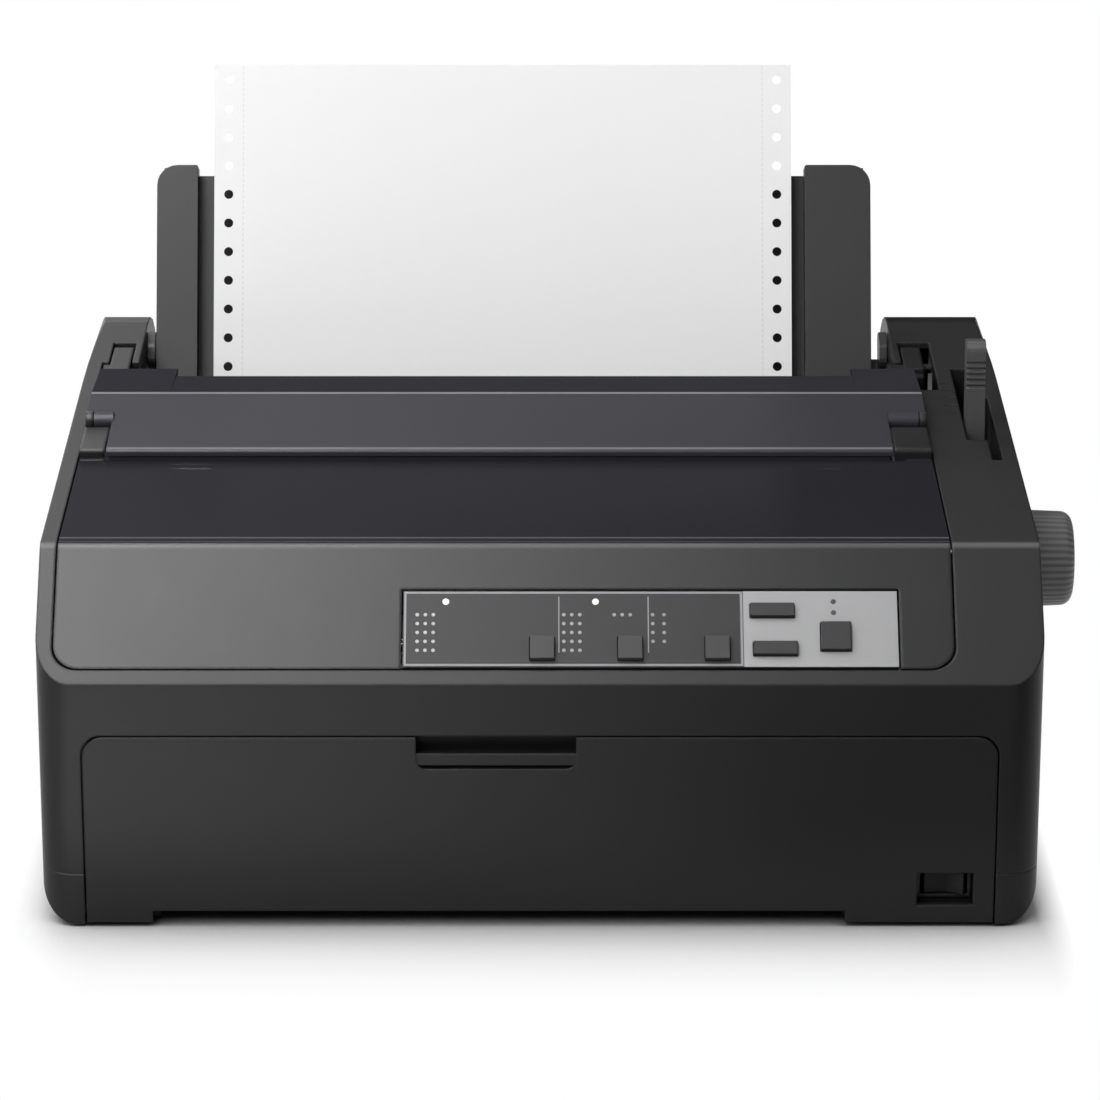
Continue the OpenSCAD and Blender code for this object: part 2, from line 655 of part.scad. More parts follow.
module front_cover() {
    at_origin() color("#2a2b2d") difference() {
        union() {
            difference() {
                union() {
                    along_y(0, front_cover_t) front_outline(0);
                    // Back of the finger grip
                    block([grip_x - grip_w / 2 - 2, 1, front_top - 15],
                        [grip_x + grip_w / 2 + 2, 12, front_top - 1]);
                    // Stiffening ribs behind the panel
                    for (x = [-150, -75, 75])
                        block([x - 1, front_cover_t - 1, 26], [x + 1, front_cover_t + 2.5, 64]);
                    // Bearing blocks at the ends
                    for (x = [-front_cover_w / 2, front_cover_w / 2 - 6])
                        block([x, 1, front_hinge[1] - 2.3], [x + 6, front_hinge[0] + 2.5, front_hinge[1] + 2.5]);
                }
                // Finger grip, open at the top
                along_y(-1, 11) translate([0, front_top - 13])
                    rect_r(grip_x - grip_w / 2, 0, grip_x + grip_w / 2, 30, 4);
                block([switch_x0 - 0.5, -1, switch_z0 - 0.5], [switch_x1 + 0.5, 8, switch_z1 + 0.5]);
            }
            // Stub axles
            for (s = [-1, 1]) rod_x(s * front_cover_w / 2 - 5.5, 11, hinge_r, front_hinge);
            // Lip across the grip
            block([grip_x - grip_w / 2 - 1, 0.2, front_top - 11.5],
                [grip_x + grip_w / 2 + 1, 3, front_top - 6.7]);
        }
    }
}

// ---------- paper guide ----------

guide_x0 = tower_l_x + 4.3;
guide_x1 = tower_r_x - 7.4;
guide_pivot = [292, 151];
guide_len = (guide_top_z - guide_pivot[1]) / cos(lean) - 3;
guide_low = -9;
rail_z = [20, guide_len - 16];

module guide_frame() {
    translate([0, guide_pivot[0], guide_pivot[1]]) rotate([-lean, 0, 0]) children();
}

module paper_guide() {
    at_origin() color("#2d2e30") guide_frame() {
        along_y(4, 2.4) difference() {
            rect_r(guide_x0 + 1, guide_low + 1, guide_x1 - 1, guide_len - 3.5, 6);
            for (i = [0:3]) translate([guide_x0 + 45 + i * 60, 24]) rect_r(0, 0, 44, 34, 5);
        }
        // Rails on which the edge guides slide
        for (z = rail_z) block([guide_x0 + 4, 6.3, z], [guide_x1 - 4, 9, z + 4]);
        // Side ears with their pivots
        for (x = [tower_l_x + 0.6, tower_r_x - 3.8]) along_x(x, 3.2)
            polygon(rounded([[-7, -5], [8, -5], [8, 11.6], [-1, 11.6], [-7, 5]], [4, 4, 3, 3, 4], 4));
        for (s = [[tower_l_x + 0.6, guide_x0 + 4], [guide_x1 - 4, tower_r_x - 0.6]])
            block([s[0], 4, guide_low + 1], [s[1], 6.4, 0]);
        rod_x(tower_l_x - wall + 0.2, wall + 2, hinge_r, [0, 0]);
        rod_x(tower_r_x - 2, wall + 1.8, hinge_r, [0, 0]);
    }
}

// Edge guide from x0 to x1, with its fence towards the paper at fence_x
module edge_guide(x0, x1, outer) {
    side = outer > 0 ? [1, 9] : [9, 1];
    back_x = outer > 0 ? x1 - 9.2 : x0 + 3;
    at_origin() color("#333437") guide_frame() difference() {
        union() {
            along_y(-5.8, 9.4) polygon(rounded([[x0, guide_low], [x1, guide_low], [x1, guide_len], [x0,
                guide_len]],
                [1, 1, side[1], side[0]], 6));
            // Bridge over the plate and the back with its hooks
            block([back_x, -3, guide_len - 3.2], [back_x + 6.2, 11.3, guide_len - 1]);
            block([back_x, 9.3, 12], [back_x + 6.2, 11.3, guide_len - 2]);
            for (z = rail_z) {
                block([back_x, 6.7, z + 4.3], [back_x + 6.2, 11.3, z + 7]);
                block([back_x, 6.7, z - 3], [back_x + 6.2, 11.3, z - 0.3]);
            }
        }
        // Hollow back of the moulding
        block([x0 + 2, -4, 6], [x1 - 2, 3.7, guide_len - 12]);
    }
}

module left_edge_guide() {
    edge_guide(guide_x0, guide_x0 + 18, -1);
}

module right_edge_guide() {
    edge_guide(guide_x1 - 29, guide_x1, 1);
}

// ---------- paper ----------

// Share of a pitch by which the paper stands above a hole at the sprocket
feed_phase = 0.815;

module continuous_paper() {
    low = on_paper(106);
    high = on_paper(paper_top);
    out = [cos(lean), -sin(lean)] * paper_t;
    n = floor((paper_top - 108) / cos(lean) / pin_pitch);
    at_origin() color("#eeeeee") difference() {
        along_x(feed_x - paper_w / 2, paper_w) polygon([low, low + out, high + out, high]);
        on_lean(tractor_z) for (i = [-2:n - 3], s = [-1, 1])
            translate([feed_x + s * hole_x, -1, (i + feed_phase) * pin_pitch])
                rotate([-90, 0, 0]) cylinder(h = 3, r = 2, $fn = 24);
    }
}

// ---------- feed ----------

platen_half = frame_half - 17;

module platen_roller() {
    at_origin() color("#17181a") difference() {
        rod_x(feed_x - platen_half, 2 * platen_half, platen_r, platen_c);
        rod_x(feed_x - platen_half - 1, 2 * platen_half + 2, shaft_d / 2, platen_c);
    }
}

module platen_shaft() {
    at_origin() color("#b9bcbe") rod_x(gear_x - 3, half_w + knob_out - 6 - gear_x + 3, shaft_d / 2,
        platen_c);
}

module platen_bushes() {
    at_origin() color("#d8d2b8") for (x = [frame_l_x - 1.5, frame_r_x - frame_t - 1.5]) difference() {
        rod_x(x, frame_t + 3, 7.95, platen_c);
        rod_x(x - 1, frame_t + 5, shaft_d / 2 + 0.05, platen_c);
    }
}

module platen_knob() {
    flutes = 44;
    at_origin() color("#3c3d40") translate([half_w + 1.5, platen_c[0], platen_c[1]]) rotate([0, 90,
        0]) difference() {
        rotate_extrude($fn = 96) polygon(rounded([[shaft_d / 2, 0], [knob_d / 2 - 1, 0], [knob_d / 2, 3],
            [knob_d / 2 - 1, knob_out - 1.5], [shaft_d / 2, knob_out - 1.5]], [0, 1, 1.5, 5, 0], 6));
        for (i = [0:flutes - 1]) rotate(i * 360 / flutes)
            translate([knob_d / 2 + 0.35, 0, 4]) cylinder(h = knob_out, r = 0.9, $fn = 16);
        translate([0, 0, knob_out - 2.6]) difference() {
            cylinder(h = 3, r = knob_d / 2 - 7);
            translate([0, 0, -1]) cylinder(h = 5, r = knob_d / 2 - 8.4);
        }
    }
    at_origin() color("#3c3d40") difference() {
        rod_x(half_w + knob_out - 6.4, 5, shaft_d / 2 + 1, platen_c);
        rod_x(half_w + knob_out - 8, 2.4, shaft_d / 2, platen_c);
    }
}

module platen_gear() {
    at_origin() color("#e4e0d0") gear(platen_teeth, platen_c, 0, shaft_d / 2);
}

module idler_gear() {
    at_origin() color("#e4e0d0") difference() {
        gear(idler_teeth, idler_c, idler_phase, 3.06);
        for (i = [0:4]) rod_x(gear_x - 1, gear_w + 2, 6.5,
            idler_c + 19.5 * [cos(i * 72), sin(i * 72)]);
    }
}

module idler_stud() {
    at_origin() color("#b9bcbe") {
        rod_x(gear_x - 1.2, frame_l_x + frame_t - gear_x + 1.2, 3, idler_c);
        rod_x(gear_x - 2.8, 1.6, 4.6, idler_c);
    }
}

module tractor_gear() {
    at_origin() color("#e4e0d0") gear(tractor_teeth, tractor_c, tractor_phase, 3);
}

// Square shaft with round journals
sq = 6;

module tractor_drive_shaft() {
    at_origin() color("#b9bcbe") {
        rod_x(gear_x - 1, frame_l_x + frame_t + 2 - gear_x + 1, 3, tractor_c);
        translate([frame_l_x + frame_t + 1, tractor_c[0], tractor_c[1]])
            block([0, -sq / 2, -sq / 2], [2 * frame_half - 2 * frame_t - 2, sq / 2, sq / 2]);
        rod_x(frame_r_x - frame_t - 2, frame_t + 4, 3, tractor_c);
    }
}

module tractor_guide_shaft() {
    at_origin() color("#b9bcbe") rod_x(frame_l_x - 1, 2 * frame_half + 2, 4, guide_shaft_c);
}

// Tractor housing: two cheeks and a foot that ride on the guide shaft
module tractor(x, side) {
    at_origin() color("#3b3c3f") difference() {
        union() {
            for (s = [-9, 6.5]) along_x(x + s, 2.5) {
                translate(tractor_c) circle(sprocket_r - 0.4);
                polygon([tractor_c + [-8, -6], guide_shaft_c + [-8, -3], guide_shaft_c + [8, -3],
                    tractor_c + [11, 2]]);
            }
            rod_x(x - 9, 18, 7.5, guide_shaft_c);
            // Lid over the margin of the paper, joined to the outer cheek
            on_lean(tractor_z) translate([x, 0, 0]) {
                block([-9, -4.2, -12], [9, -2.6, 12]);
                block([min(side * 6.8, side * 9), -4.2, -8], [max(side * 6.8, side * 9), 6, 8]);
            }
        }
        rod_x(x - 20, 40, hub_r + hinge_gap, tractor_c);
        rod_x(x - 20, 40, 4 + hinge_gap, guide_shaft_c);
        // Slot for the pins in the lid
        on_lean(tractor_z) translate([x, 0, 0]) block([-2.6, -5, -9], [2.6, -1, 9]);
    }
}

module left_tractor() {
    tractor(feed_x - hole_x, -1);
}

module right_tractor() {
    tractor(feed_x + hole_x, 1);
}

// Sprocket with its pins, on the square shaft
module sprocket(x) {
    at_origin() color("#5a5c60") translate([x - 5.8, tractor_c[0], tractor_c[1]]) rotate([90, 0,
        90]) difference() {
        union() {
            cylinder(h = 11.6, r = sprocket_r);
            for (i = [0:sprocket_pins - 1]) rotate(180 - lean + (i - feed_phase) * 360 / sprocket_pins)
                translate([sprocket_r - 1, 0, 5.8]) rotate([0, 90, 0]) cylinder(h = 1.5, r = 1.7);
            translate([0, 0, -3]) cylinder(h = 17.6, r = hub_r);
        }
        translate([-sq / 2 - 0.06, -sq / 2 - 0.06, -5]) cube([sq + 0.12, sq + 0.12, 30]);
    }
}

module left_sprocket() {
    sprocket(feed_x - hole_x);
}

module right_sprocket() {
    sprocket(feed_x + hole_x);
}

module feed_motor() {
    at_origin() color("#6d7073") {
        translate([frame_l_x + frame_t, pinion_c[0], pinion_c[1]]) rotate([90, 0, 90]) {
            linear_extrude(3) rect_r(-21, -21, 21, 21, 4);
            translate([0, 0, 3]) cylinder(h = 20, r = 20);
        }
        rod_x(gear_x - 0.5, frame_l_x + frame_t - gear_x + 0.5, 2.5, pinion_c);
    }
}

module feed_pinion() {
    at_origin() color("#c9a45a") gear(pinion_teeth, pinion_c, pinion_phase, 2.55);
}

// ---------- print mechanism ----------

module carriage_shaft() {
    at_origin() color("#c6c9cb") rod_x(frame_l_x - 3, 2 * frame_half + 6, carriage_shaft_d / 2, carriage_c);
}

module carriage_rail() {
    at_origin() color("#a3a6a8") along_x(frame_l_x + frame_t, 2 * frame_half - 2 * frame_t)
        polygon([[rail_y, 40], [rail_y + 12, 40], [rail_y + 12, 41.6], [rail_y + 2, 41.6], [rail_y + 2,
            62], [rail_y, 62]]);
}

module carriage() {
    at_origin() color("#303134") difference() {
        union() {
            block([home_x - 22, 118, 57], [home_x + 22, 158, 74]);
            along_x(home_x - 22, 44) translate(carriage_c) circle(12.5);
            block([home_x - 22, 106.6, 65], [home_x + 22, 124, 74]);
            block([home_x - 16, 106.6, 52], [home_x + 16, 119.6, 70]);
            block([home_x - 10, belt_y + 3.4, 49.5], [home_x + 10, 112, 62]);
        }
        rod_x(home_x - 30, 60, carriage_shaft_d / 2 + 0.05, carriage_c);
        block([home_x - 30, 100, 74], [home_x + 30, 170, 90]);
        // Slots for the guide rail and for the belt
        block([home_x - 30, rail_y - 0.3, 40], [home_x + 30, rail_y + 2.3, 62.4]);
        block([home_x - 30, belt_y + belt_r - 0.4, 40], [home_x + 30, belt_y + belt_r + 1.6, belt_z + 3.4]);
    }
}

module print_head() {
    at_origin() color("#232426") {
        block([home_x - head_w / 2, 122, 74], [home_x + head_w / 2, 150, 96]);
        along_x(home_x - 8, 16) polygon([[149, 76], [platen_c[0] - platen_r - 2.4, 87],
            [platen_c[0] - platen_r - 2.4, 95], [149, 100]]);
        // Cooling fins
        for (i = [0:6]) block([home_x - head_w / 2 + i * 5.7, 123, 95],
            [home_x - head_w / 2 + i * 5.7 + 1.8, 149, 110]);
        block([home_x - head_w / 2, 148, 95], [home_x + head_w / 2, 150, 104]);
    }
}

cart_half = frame_half - 7;
ribbon_knob_c = [feed_x + 90, 82];

module ribbon_cartridge() {
    x0 = feed_x - cart_half;
    x1 = feed_x + cart_half;
    at_origin() color("#1f2022") difference() {
        union() {
            translate([0, 0, ribbon_z]) linear_extrude(13) rect_r(x0, 52, x1, 112, 8);
            // Arms that carry the ribbon past the platen
            for (s = [[x0, x0 + 9], [x1 - 9, x1]]) along_x(s[0], 9) polygon(rounded([[100, ribbon_z + 1],
                [140, 84],
                [platen_c[0] - 22, 84], [platen_c[0] - 22, 100], [140, ribbon_z + 13], [100,
                    ribbon_z + 13]],
                [0, 4, 2, 4, 4, 0], 4));
            // Ears that rest on the side frames
            for (x = [frame_l_x, x1 - 1]) block([x, 69, ribbon_z], [x + frame_half - cart_half + 1, 81,
                ribbon_z + 3]);
            translate([ribbon_knob_c[0], ribbon_knob_c[1], ribbon_z + 12]) cylinder(h = 2, r = 17);
        }
        translate([ribbon_knob_c[0], ribbon_knob_c[1], ribbon_z - 1]) cylinder(h = 30, r = 4.06);
        for (x = [x0 + 3, x1 - 6]) block([x, 150, 85.5], [x + 3, platen_c[0], 98.5]);
    }
}

module ribbon_band() {
    x0 = feed_x - cart_half + 3;
    x1 = feed_x + cart_half - 3;
    y1 = platen_c[0] - platen_r - 1.8;
    at_origin() color("#0c0c0c") translate([0, 0, 86]) linear_extrude(12) {
        translate([x0, y1 - 0.2]) square([x1 - x0, 0.2]);
        for (x = [x0, x1 - 0.2]) translate([x, 150]) square([0.2, y1 - 150]);
    }
}

module ribbon_knob() {
    at_origin() color("#3a3b3e") translate([ribbon_knob_c[0], ribbon_knob_c[1], 0]) difference() {
        union() {
            translate([0, 0, ribbon_z + 1]) cylinder(h = 15, r = 4);
            translate([0, 0, ribbon_z + 14.4]) cylinder(h = 4.6, r = 12);
        }
        for (i = [0:11]) rotate(i * 30) translate([12.6, 0, ribbon_z]) cylinder(h = 30, r = 1.4, $fn = 16);
    }
}

module carriage_motor() {
    at_origin() color("#6d7073") translate([belt_x1, belt_y, 0]) {
        translate([0, 0, base_z + frame_t]) linear_extrude(24) rect_r(-14, -14, 14, 14, 4);
        translate([0, 0, 30]) cylinder(h = 32, r = 2.5);
    }
}

module toothed_pulley(x, flange) {
    translate([x, belt_y, belt_z - 4]) difference() {
        union() {
            cylinder(h = 8, r = belt_r - 0.1);
            translate([0, 0, -1.2]) cylinder(h = 1, r = flange);
            translate([0, 0, 8.2]) cylinder(h = 1, r = flange);
            translate([0, 0, -1.2]) cylinder(h = 10.4, r = belt_r - 1);
        }
        for (i = [0:15]) rotate(i * 22.5) translate([belt_r, 0, -0.1]) cylinder(h = 8.2, r = 0.6, $fn = 16);
        translate([0, 0, -3]) cylinder(h = 14, r = 2.55);
    }
}

module belt_pulley() {
    at_origin() color("#c9a45a") toothed_pulley(belt_x1, belt_r + 2);
}

module belt_idler() {
    at_origin() color("#8f9294") toothed_pulley(belt_x0, belt_r + 2);
}

module belt_post() {
    at_origin() color("#8f9294") translate([belt_x0, belt_y, base_z + frame_t]) {
        cylinder(h = belt_z - 6.4 - 12 - frame_t, r = 5);
        cylinder(h = belt_z - 4, r = 2.5);
    }
}

module drive_belt() {
    at_origin() color("#101010") translate([0, 0, belt_z - 3]) linear_extrude(6) difference() {
        union() {
            translate([belt_x0, belt_y]) circle(belt_r + 1.2);
            translate([belt_x1, belt_y]) circle(belt_r + 1.2);
            translate([belt_x0, belt_y - belt_r - 1.2]) square([belt_x1 - belt_x0, 2 * belt_r + 2.4]);
        }
        translate([belt_x0, belt_y]) circle(belt_r + 0.1);
        translate([belt_x1, belt_y]) circle(belt_r + 0.1);
        translate([belt_x0, belt_y - belt_r - 0.1]) square([belt_x1 - belt_x0, 2 * belt_r + 0.2]);
    }
}

// ---------- control panel ----------

key_at = [[0.8, 15.1], [34.8, 15.1], [68.5, 15.1]];
load_at = [89.9, 31];
line_at = [90.9, 14.9];
pause_at = [114.3, 20];
pause_side = button_side + 2.2;

module panel_hole(c, w, h) {
    translate([c[0] - w / 2, c[1] - h / 2, -20]) cube([w, h, 40]);
}

module control_panel() {
    at_origin() color("#2f3032") on_slope() difference() {
        union() {
            translate([panel_x0, panel_t0, -2.4]) cube([panel_x1 - panel_x0, panel_t1 - panel_t0, 2.4]);
            for (t = [panel_t0, panel_t1 - 1.6])
                translate([panel_x0, t, -10]) cube([panel_x1 - panel_x0, 1.6, 9]);
            for (x = [panel_x0, panel_x1 - 1.6])
                translate([x, panel_t0, -10]) cube([1.6, panel_t1 - panel_t0, 9]);
            // Flange that holds the panel behind the edge of the case
            translate([panel_x0 - 2, 2, -5.2]) cube([panel_x1 - panel_x0 + 4, panel_t0 - 1.4, 2.4]);
        }
        for (k = key_at) panel_hole(k, button_side + 0.6, button_side + 0.6);
        for (c = [load_at, line_at]) panel_hole(c, button_wide + 0.6, wide_h + 0.6);
        panel_hole(pause_at, pause_side + 0.6, pause_side + 0.6);
        for (l = lamp_at) translate([l[0], l[1], -5]) cylinder(h = 10, r = l[2] + 0.02, $fn = 24);
    }
}

// Round lamps and the rows of small lamp windows, each as [x, t, r]
lamp_at = [[-36.5, 35, 1.3], [21.5, 35, 1.3], [113.7, 35, 1], [113.7, 30.4, 1],
    for (r = [0:4], c = [0:2]) [-47.5 + c * 3.1, 29.5 - r * 3.75, 0.7],
    for (r = [0:4], c = [0:2]) [9.2 + c * 3.1, 29.5 - r * 3.75, 0.7],
    for (c = [0:2]) [28.7 + c * 3.1, 29.5, 0.7],
    for (r = [0:3], c = [0:1]) [43.6 + c * 4.4, 29.5 - r * 3.75, 0.7]];

module status_lamps() {
    at_origin() color("#d9e6c8") on_slope() for (l = lamp_at)
        translate([l[0], l[1], -3.2]) cylinder(h = 3.3, r = l[2], $fn = 24);
    // Light guides behind each group
    at_origin() color("#d9e6c8") on_slope() for (s = [[-49, 12.8, -34.8, 37], [7.8, 12.8, 23.4, 37],
        [27.2, 28, 36.6, 31], [42.4, 16.6, 49.4, 31], [112.2, 29, 115.2, 36.6]])
        translate([s[0], s[1], -3.6]) cube([s[2] - s[0], s[3] - s[1], 1.2]);
}

module button(c, w, h) {
    on_slope() translate([c[0], c[1], 0]) {
        translate([-w / 2, -h / 2, -3.8]) cube([w, h, 3.8 + button_h]);
        translate([-w / 2 - 0.9, -h / 2 - 0.9, -3.8]) cube([w + 1.8, h + 1.8, 1.1]);
        translate([-2, -2, -5.6]) cube([4, 4, 3]);
    }
}

module control_board() {
    at_origin() color("#2e5a3a") on_slope() translate([panel_x0 + 3, panel_t0 + 2,
        -9.2]) cube([panel_x1 - panel_x0 - 6, panel_t1 - panel_t0 - 4, 1.6]);
    at_origin() color("#2e5a3a") on_slope() for (k = concat(key_at, [load_at, line_at, pause_at]))
        translate([k[0] - 3, k[1] - 3, -7.7]) cube([6, 6, 1]);
}

module left_key() {
    at_origin() color("#4a4b4e") button(key_at[0], button_side, button_side);
}

module middle_key() {
    at_origin() color("#4a4b4e") button(key_at[1], button_side, button_side);
}

module right_key() {
    at_origin() color("#4a4b4e") button(key_at[2], button_side, button_side);
}

module load_button() {
    at_origin() color("#4a4b4e") button(load_at, button_wide, wide_h);
}

module line_button() {
    at_origin() color("#4a4b4e") button(line_at, button_wide, wide_h);
}

module pause_button() {
    at_origin() color("#4a4b4e") button(pause_at, pause_side, pause_side);
}

// ---------- power switch and release lever ----------

switch_x0 = 147.5;
switch_x1 = 168.5;
switch_z0 = 9.6;
switch_z1 = 22;
switch_y = 7.4;
rocker_c = [(switch_x0 + switch_x1) / 2, switch_y + 1.8];

module power_switch_body() {
    at_origin() color("#151516") difference() {
        block([switch_x0, switch_y, switch_z0], [switch_x1, switch_y + 19.6, switch_z1 - 0.2]);
        block([switch_x0 + 1.2, switch_y - 1.4, switch_z0 + 1.2],
            [switch_x1 - 1.2, switch_y + 11.6, switch_z1 - 1.4]);
        translate([rocker_c[0], rocker_c[1] + 2, switch_z0 - 1]) cylinder(h = 16, r = 1.2);
    }
}

module power_rocker() {
    at_origin() color("#2c2d2f") difference() {
        translate([rocker_c[0], rocker_c[1] + 2,
            switch_z0 + 1.5]) linear_extrude(switch_z1 - switch_z0 - 3.2)
            polygon([[-7.6, -3.4], [0, -2.2], [7.6, -6.2], [8, -1], [4, 4], [-4, 4], [-8, 1]]);
        translate([rocker_c[0], rocker_c[1] + 2, switch_z0]) cylinder(h = 14, r = 0.6);
    }
    at_origin() color("#2c2d2f") translate([rocker_c[0], rocker_c[1] + 2,
        switch_z0 + 0.1]) cylinder(h = switch_z1 - switch_z0 - 0.4, r = 1.14);
}

lever_c = [172, 106];
lever_x = half_w - 17.8;
lever_foot = lever_c - [6, 0];
lever_tip = [lever_c[0] + 2, top_z(lever_c[0]) + lever_h + 1];
lever_u = (lever_tip - lever_foot) / norm(lever_tip - lever_foot);
lever_rib = 2.4;

module release_lever() {
    at_origin() color("#3d3e41") {
        difference() {
            along_x(lever_x, 7.8) polygon(rounded([lever_foot, lever_c + [6, 0],
                lever_tip + [12, -1], lever_tip], [2, 2, 4, 4], 5));
            // Ribbed thumb grip on the front of the tip
            for (i = [0:4]) along_x(lever_x - 1, 10.2)
                translate(lever_tip - [0, 2] - (i + 3) * lever_rib * lever_u) circle(0.75, $fn = 16);
        }
        rod_x(lever_x - 4, 12.2, 6.5, lever_c);
        rod_x(frame_r_x - frame_t - 3, lever_x - frame_r_x + frame_t + 3, 3, lever_c);
    }
}

// ---------- electronics ----------

module main_board() {
    at_origin() color("#2e5a3a") {
        block([board_x0, board_y0, 20], [board_x1, board_y1, 21.6]);
        // Chips, as [x, y, width, depth] on the board
        for (p = [[34, 28, 24, 24], [84, 28, 30, 12], [84, 53, 30, 12], [6, 68, 16, 22],
            [board_x1 - board_x0 - 36, 28, 20, 40]])
            translate([board_x0 + p[0], board_y0 + p[1], 21.5]) cube([p[2], p[3], 3.5]);
        for (x = [board_x0 + 6, board_x1 - 6], y = [board_y0 + 6, board_y1 - 10])
            translate([x, y, base_z + frame_t]) cylinder(h = 7, r = 3);
        // Riser that carries the sockets
        block([port_x0 + 10, board_y1 - 4, 21.5], [board_x1, board_y1, port_z1 - 10]);
    }
}

psu_wall = 1.5;

module power_supply() {
    at_origin() color("#7b7e80") {
        difference() {
            block([psu_x0, board_y0, 16], [psu_x1, board_y1, 58]);
            block([psu_x0 + psu_wall, board_y0 + psu_wall, 16 + psu_wall],
                [psu_x1 - psu_wall, board_y1 - psu_wall, 70]);
        }
        // Transformer and two capacitors
        block([psu_x0 + 6, board_y0 + 10, 17], [psu_x0 + 40, board_y0 + 48, 50]);
        translate([psu_x0 + 64, board_y0 + 28, 17]) cylinder(h = 36, r = 12);
        translate([psu_x0 + 64, board_y0 + 78, 17]) cylinder(h = 30, r = 10);
        for (x = [psu_x0 + 5, psu_x1 - 6], y = [board_y0 + 6, board_y1 - 6])
            translate([x, y, base_z + frame_t]) cylinder(h = 3, r = 3);
    }
}

module rear_connectors() {
    face = case_d - wall;
    inlet_c = (inlet_x0 + inlet_x1) / 2;
    at_origin() color("#26282b") {
        // Power inlet
        difference() {
            union() {
                block([inlet_x0 + 0.2, face - 19, port_z0 + 0.2],
                    [inlet_x1 - 0.2, case_d - 0.4, port_z1 - 0.2]);
                block([inlet_x0 - 2, face - 3, port_z0 - 2], [inlet_x1 + 2, face, port_z1 + 2]);
            }
            block([inlet_x0 + 5, case_d - 16, port_z0 + 4], [inlet_x1 - 5, case_d + 1, port_z1 - 4]);
        }
        for (x = [inlet_c - 6, inlet_c, inlet_c + 6])
            block([x - 1, case_d - 17, port_z0 + 10], [x + 1, case_d - 4, port_z0 + 16]);
        // Parallel and serial sockets
        difference() {
            union() {
                block([port_x0 + 0.2, board_y1, port_z0 + 0.2],
                    [port_x1 - 0.2, case_d - 1.4, port_z1 - 0.2]);
                block([port_x0 - 2, face - 3, port_z0 - 2], [port_x1 + 2, face, port_z1 + 2]);
            }
            block([port_x0 + 10, case_d - 8, port_z0 + 5], [port_x0 + 62, case_d + 1, port_z0 + 18]);
            block([port_x0 + 70, case_d - 8, port_z0 + 5], [port_x0 + 82, case_d + 1, port_z0 + 17]);
        }
        block([port_x0 + 14, case_d - 9, port_z0 + 9], [port_x0 + 58, case_d - 2, port_z0 + 14]);
        block([port_x0 + 72.5, case_d - 9, port_z0 + 8], [port_x0 + 79.5, case_d - 2.4, port_z0 + 13]);
    }
}

// ---------- assembly ----------

lower_case();
upper_case();
rubber_feet();
base_frame();
left_side_frame();
right_side_frame();
frame_stay();
printer_cover();
cover_window();
eject_cover();
front_cover();
paper_guide();
left_edge_guide();
right_edge_guide();
continuous_paper();
platen_roller();
platen_shaft();
platen_gear();
platen_knob();
platen_bushes();
idler_gear();
idler_stud();
tractor_gear();
tractor_drive_shaft();
tractor_guide_shaft();
left_tractor();
right_tractor();
left_sprocket();
right_sprocket();
feed_motor();
feed_pinion();
carriage_shaft();
carriage_rail();
carriage();
print_head();
ribbon_cartridge();
ribbon_band();
ribbon_knob();
carriage_motor();
belt_pulley();
belt_idler();
belt_post();
drive_belt();
control_panel();
control_board();
status_lamps();
left_key();
middle_key();
right_key();
load_button();
line_button();
pause_button();
power_switch_body();
power_rocker();
release_lever();
main_board();
power_supply();
rear_connectors();
case_screws();
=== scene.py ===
"""Looks of the dot matrix printer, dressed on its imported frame.

Lengths are in metres in the model's frame: X to the right, Y to the rear, Z up from the table.
"""
import math

import bmesh
import bpy
import numpy as np
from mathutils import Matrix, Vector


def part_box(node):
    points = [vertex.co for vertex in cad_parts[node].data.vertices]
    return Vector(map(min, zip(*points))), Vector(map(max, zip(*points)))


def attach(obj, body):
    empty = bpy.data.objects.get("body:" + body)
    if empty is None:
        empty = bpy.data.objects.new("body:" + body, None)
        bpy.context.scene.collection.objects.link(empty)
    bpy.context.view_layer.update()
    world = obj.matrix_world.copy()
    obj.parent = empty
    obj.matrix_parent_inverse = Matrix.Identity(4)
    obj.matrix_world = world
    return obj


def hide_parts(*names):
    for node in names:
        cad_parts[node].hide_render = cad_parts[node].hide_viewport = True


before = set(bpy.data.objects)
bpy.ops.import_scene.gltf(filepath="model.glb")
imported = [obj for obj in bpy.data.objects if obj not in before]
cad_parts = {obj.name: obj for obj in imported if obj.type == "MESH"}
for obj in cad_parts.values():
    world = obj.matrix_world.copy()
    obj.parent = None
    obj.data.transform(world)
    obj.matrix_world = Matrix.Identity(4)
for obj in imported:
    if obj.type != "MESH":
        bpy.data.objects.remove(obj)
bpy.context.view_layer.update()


# ---------- measures of the printer ----------

# The middle of the case front on the table, which the body's own measures start from
CASE_FRONT = np.array([-0.015, -0.175, 0.0])
CASE_HALF_WIDTH, CASE_HALF_DEPTH = 0.195, 0.175

# The control slope climbs at this angle from the front ridge, which is this high
RIDGE_Z = 0.1000
SLOPE = math.atan2(44.5, 40.0)

# The raised sheet: how far it leans back, its middle line, and the tear lines beside its holes
PAPER_LEAN = math.radians(21.4)
PAPER_X = CASE_FRONT[0] - 0.0164
TEAR_LINE_X = (PAPER_X - 0.1143, PAPER_X + 0.1143)
TEAR_DASHES_PER_M = 420.0

# The crease where the control slope meets the top, where a painted highlight lightens the colour:
# place along Y, half width, lowest Z
CREASE_HIGHLIGHT = (CASE_FRONT[1] + 0.0400, 0.0011, 0.1415)
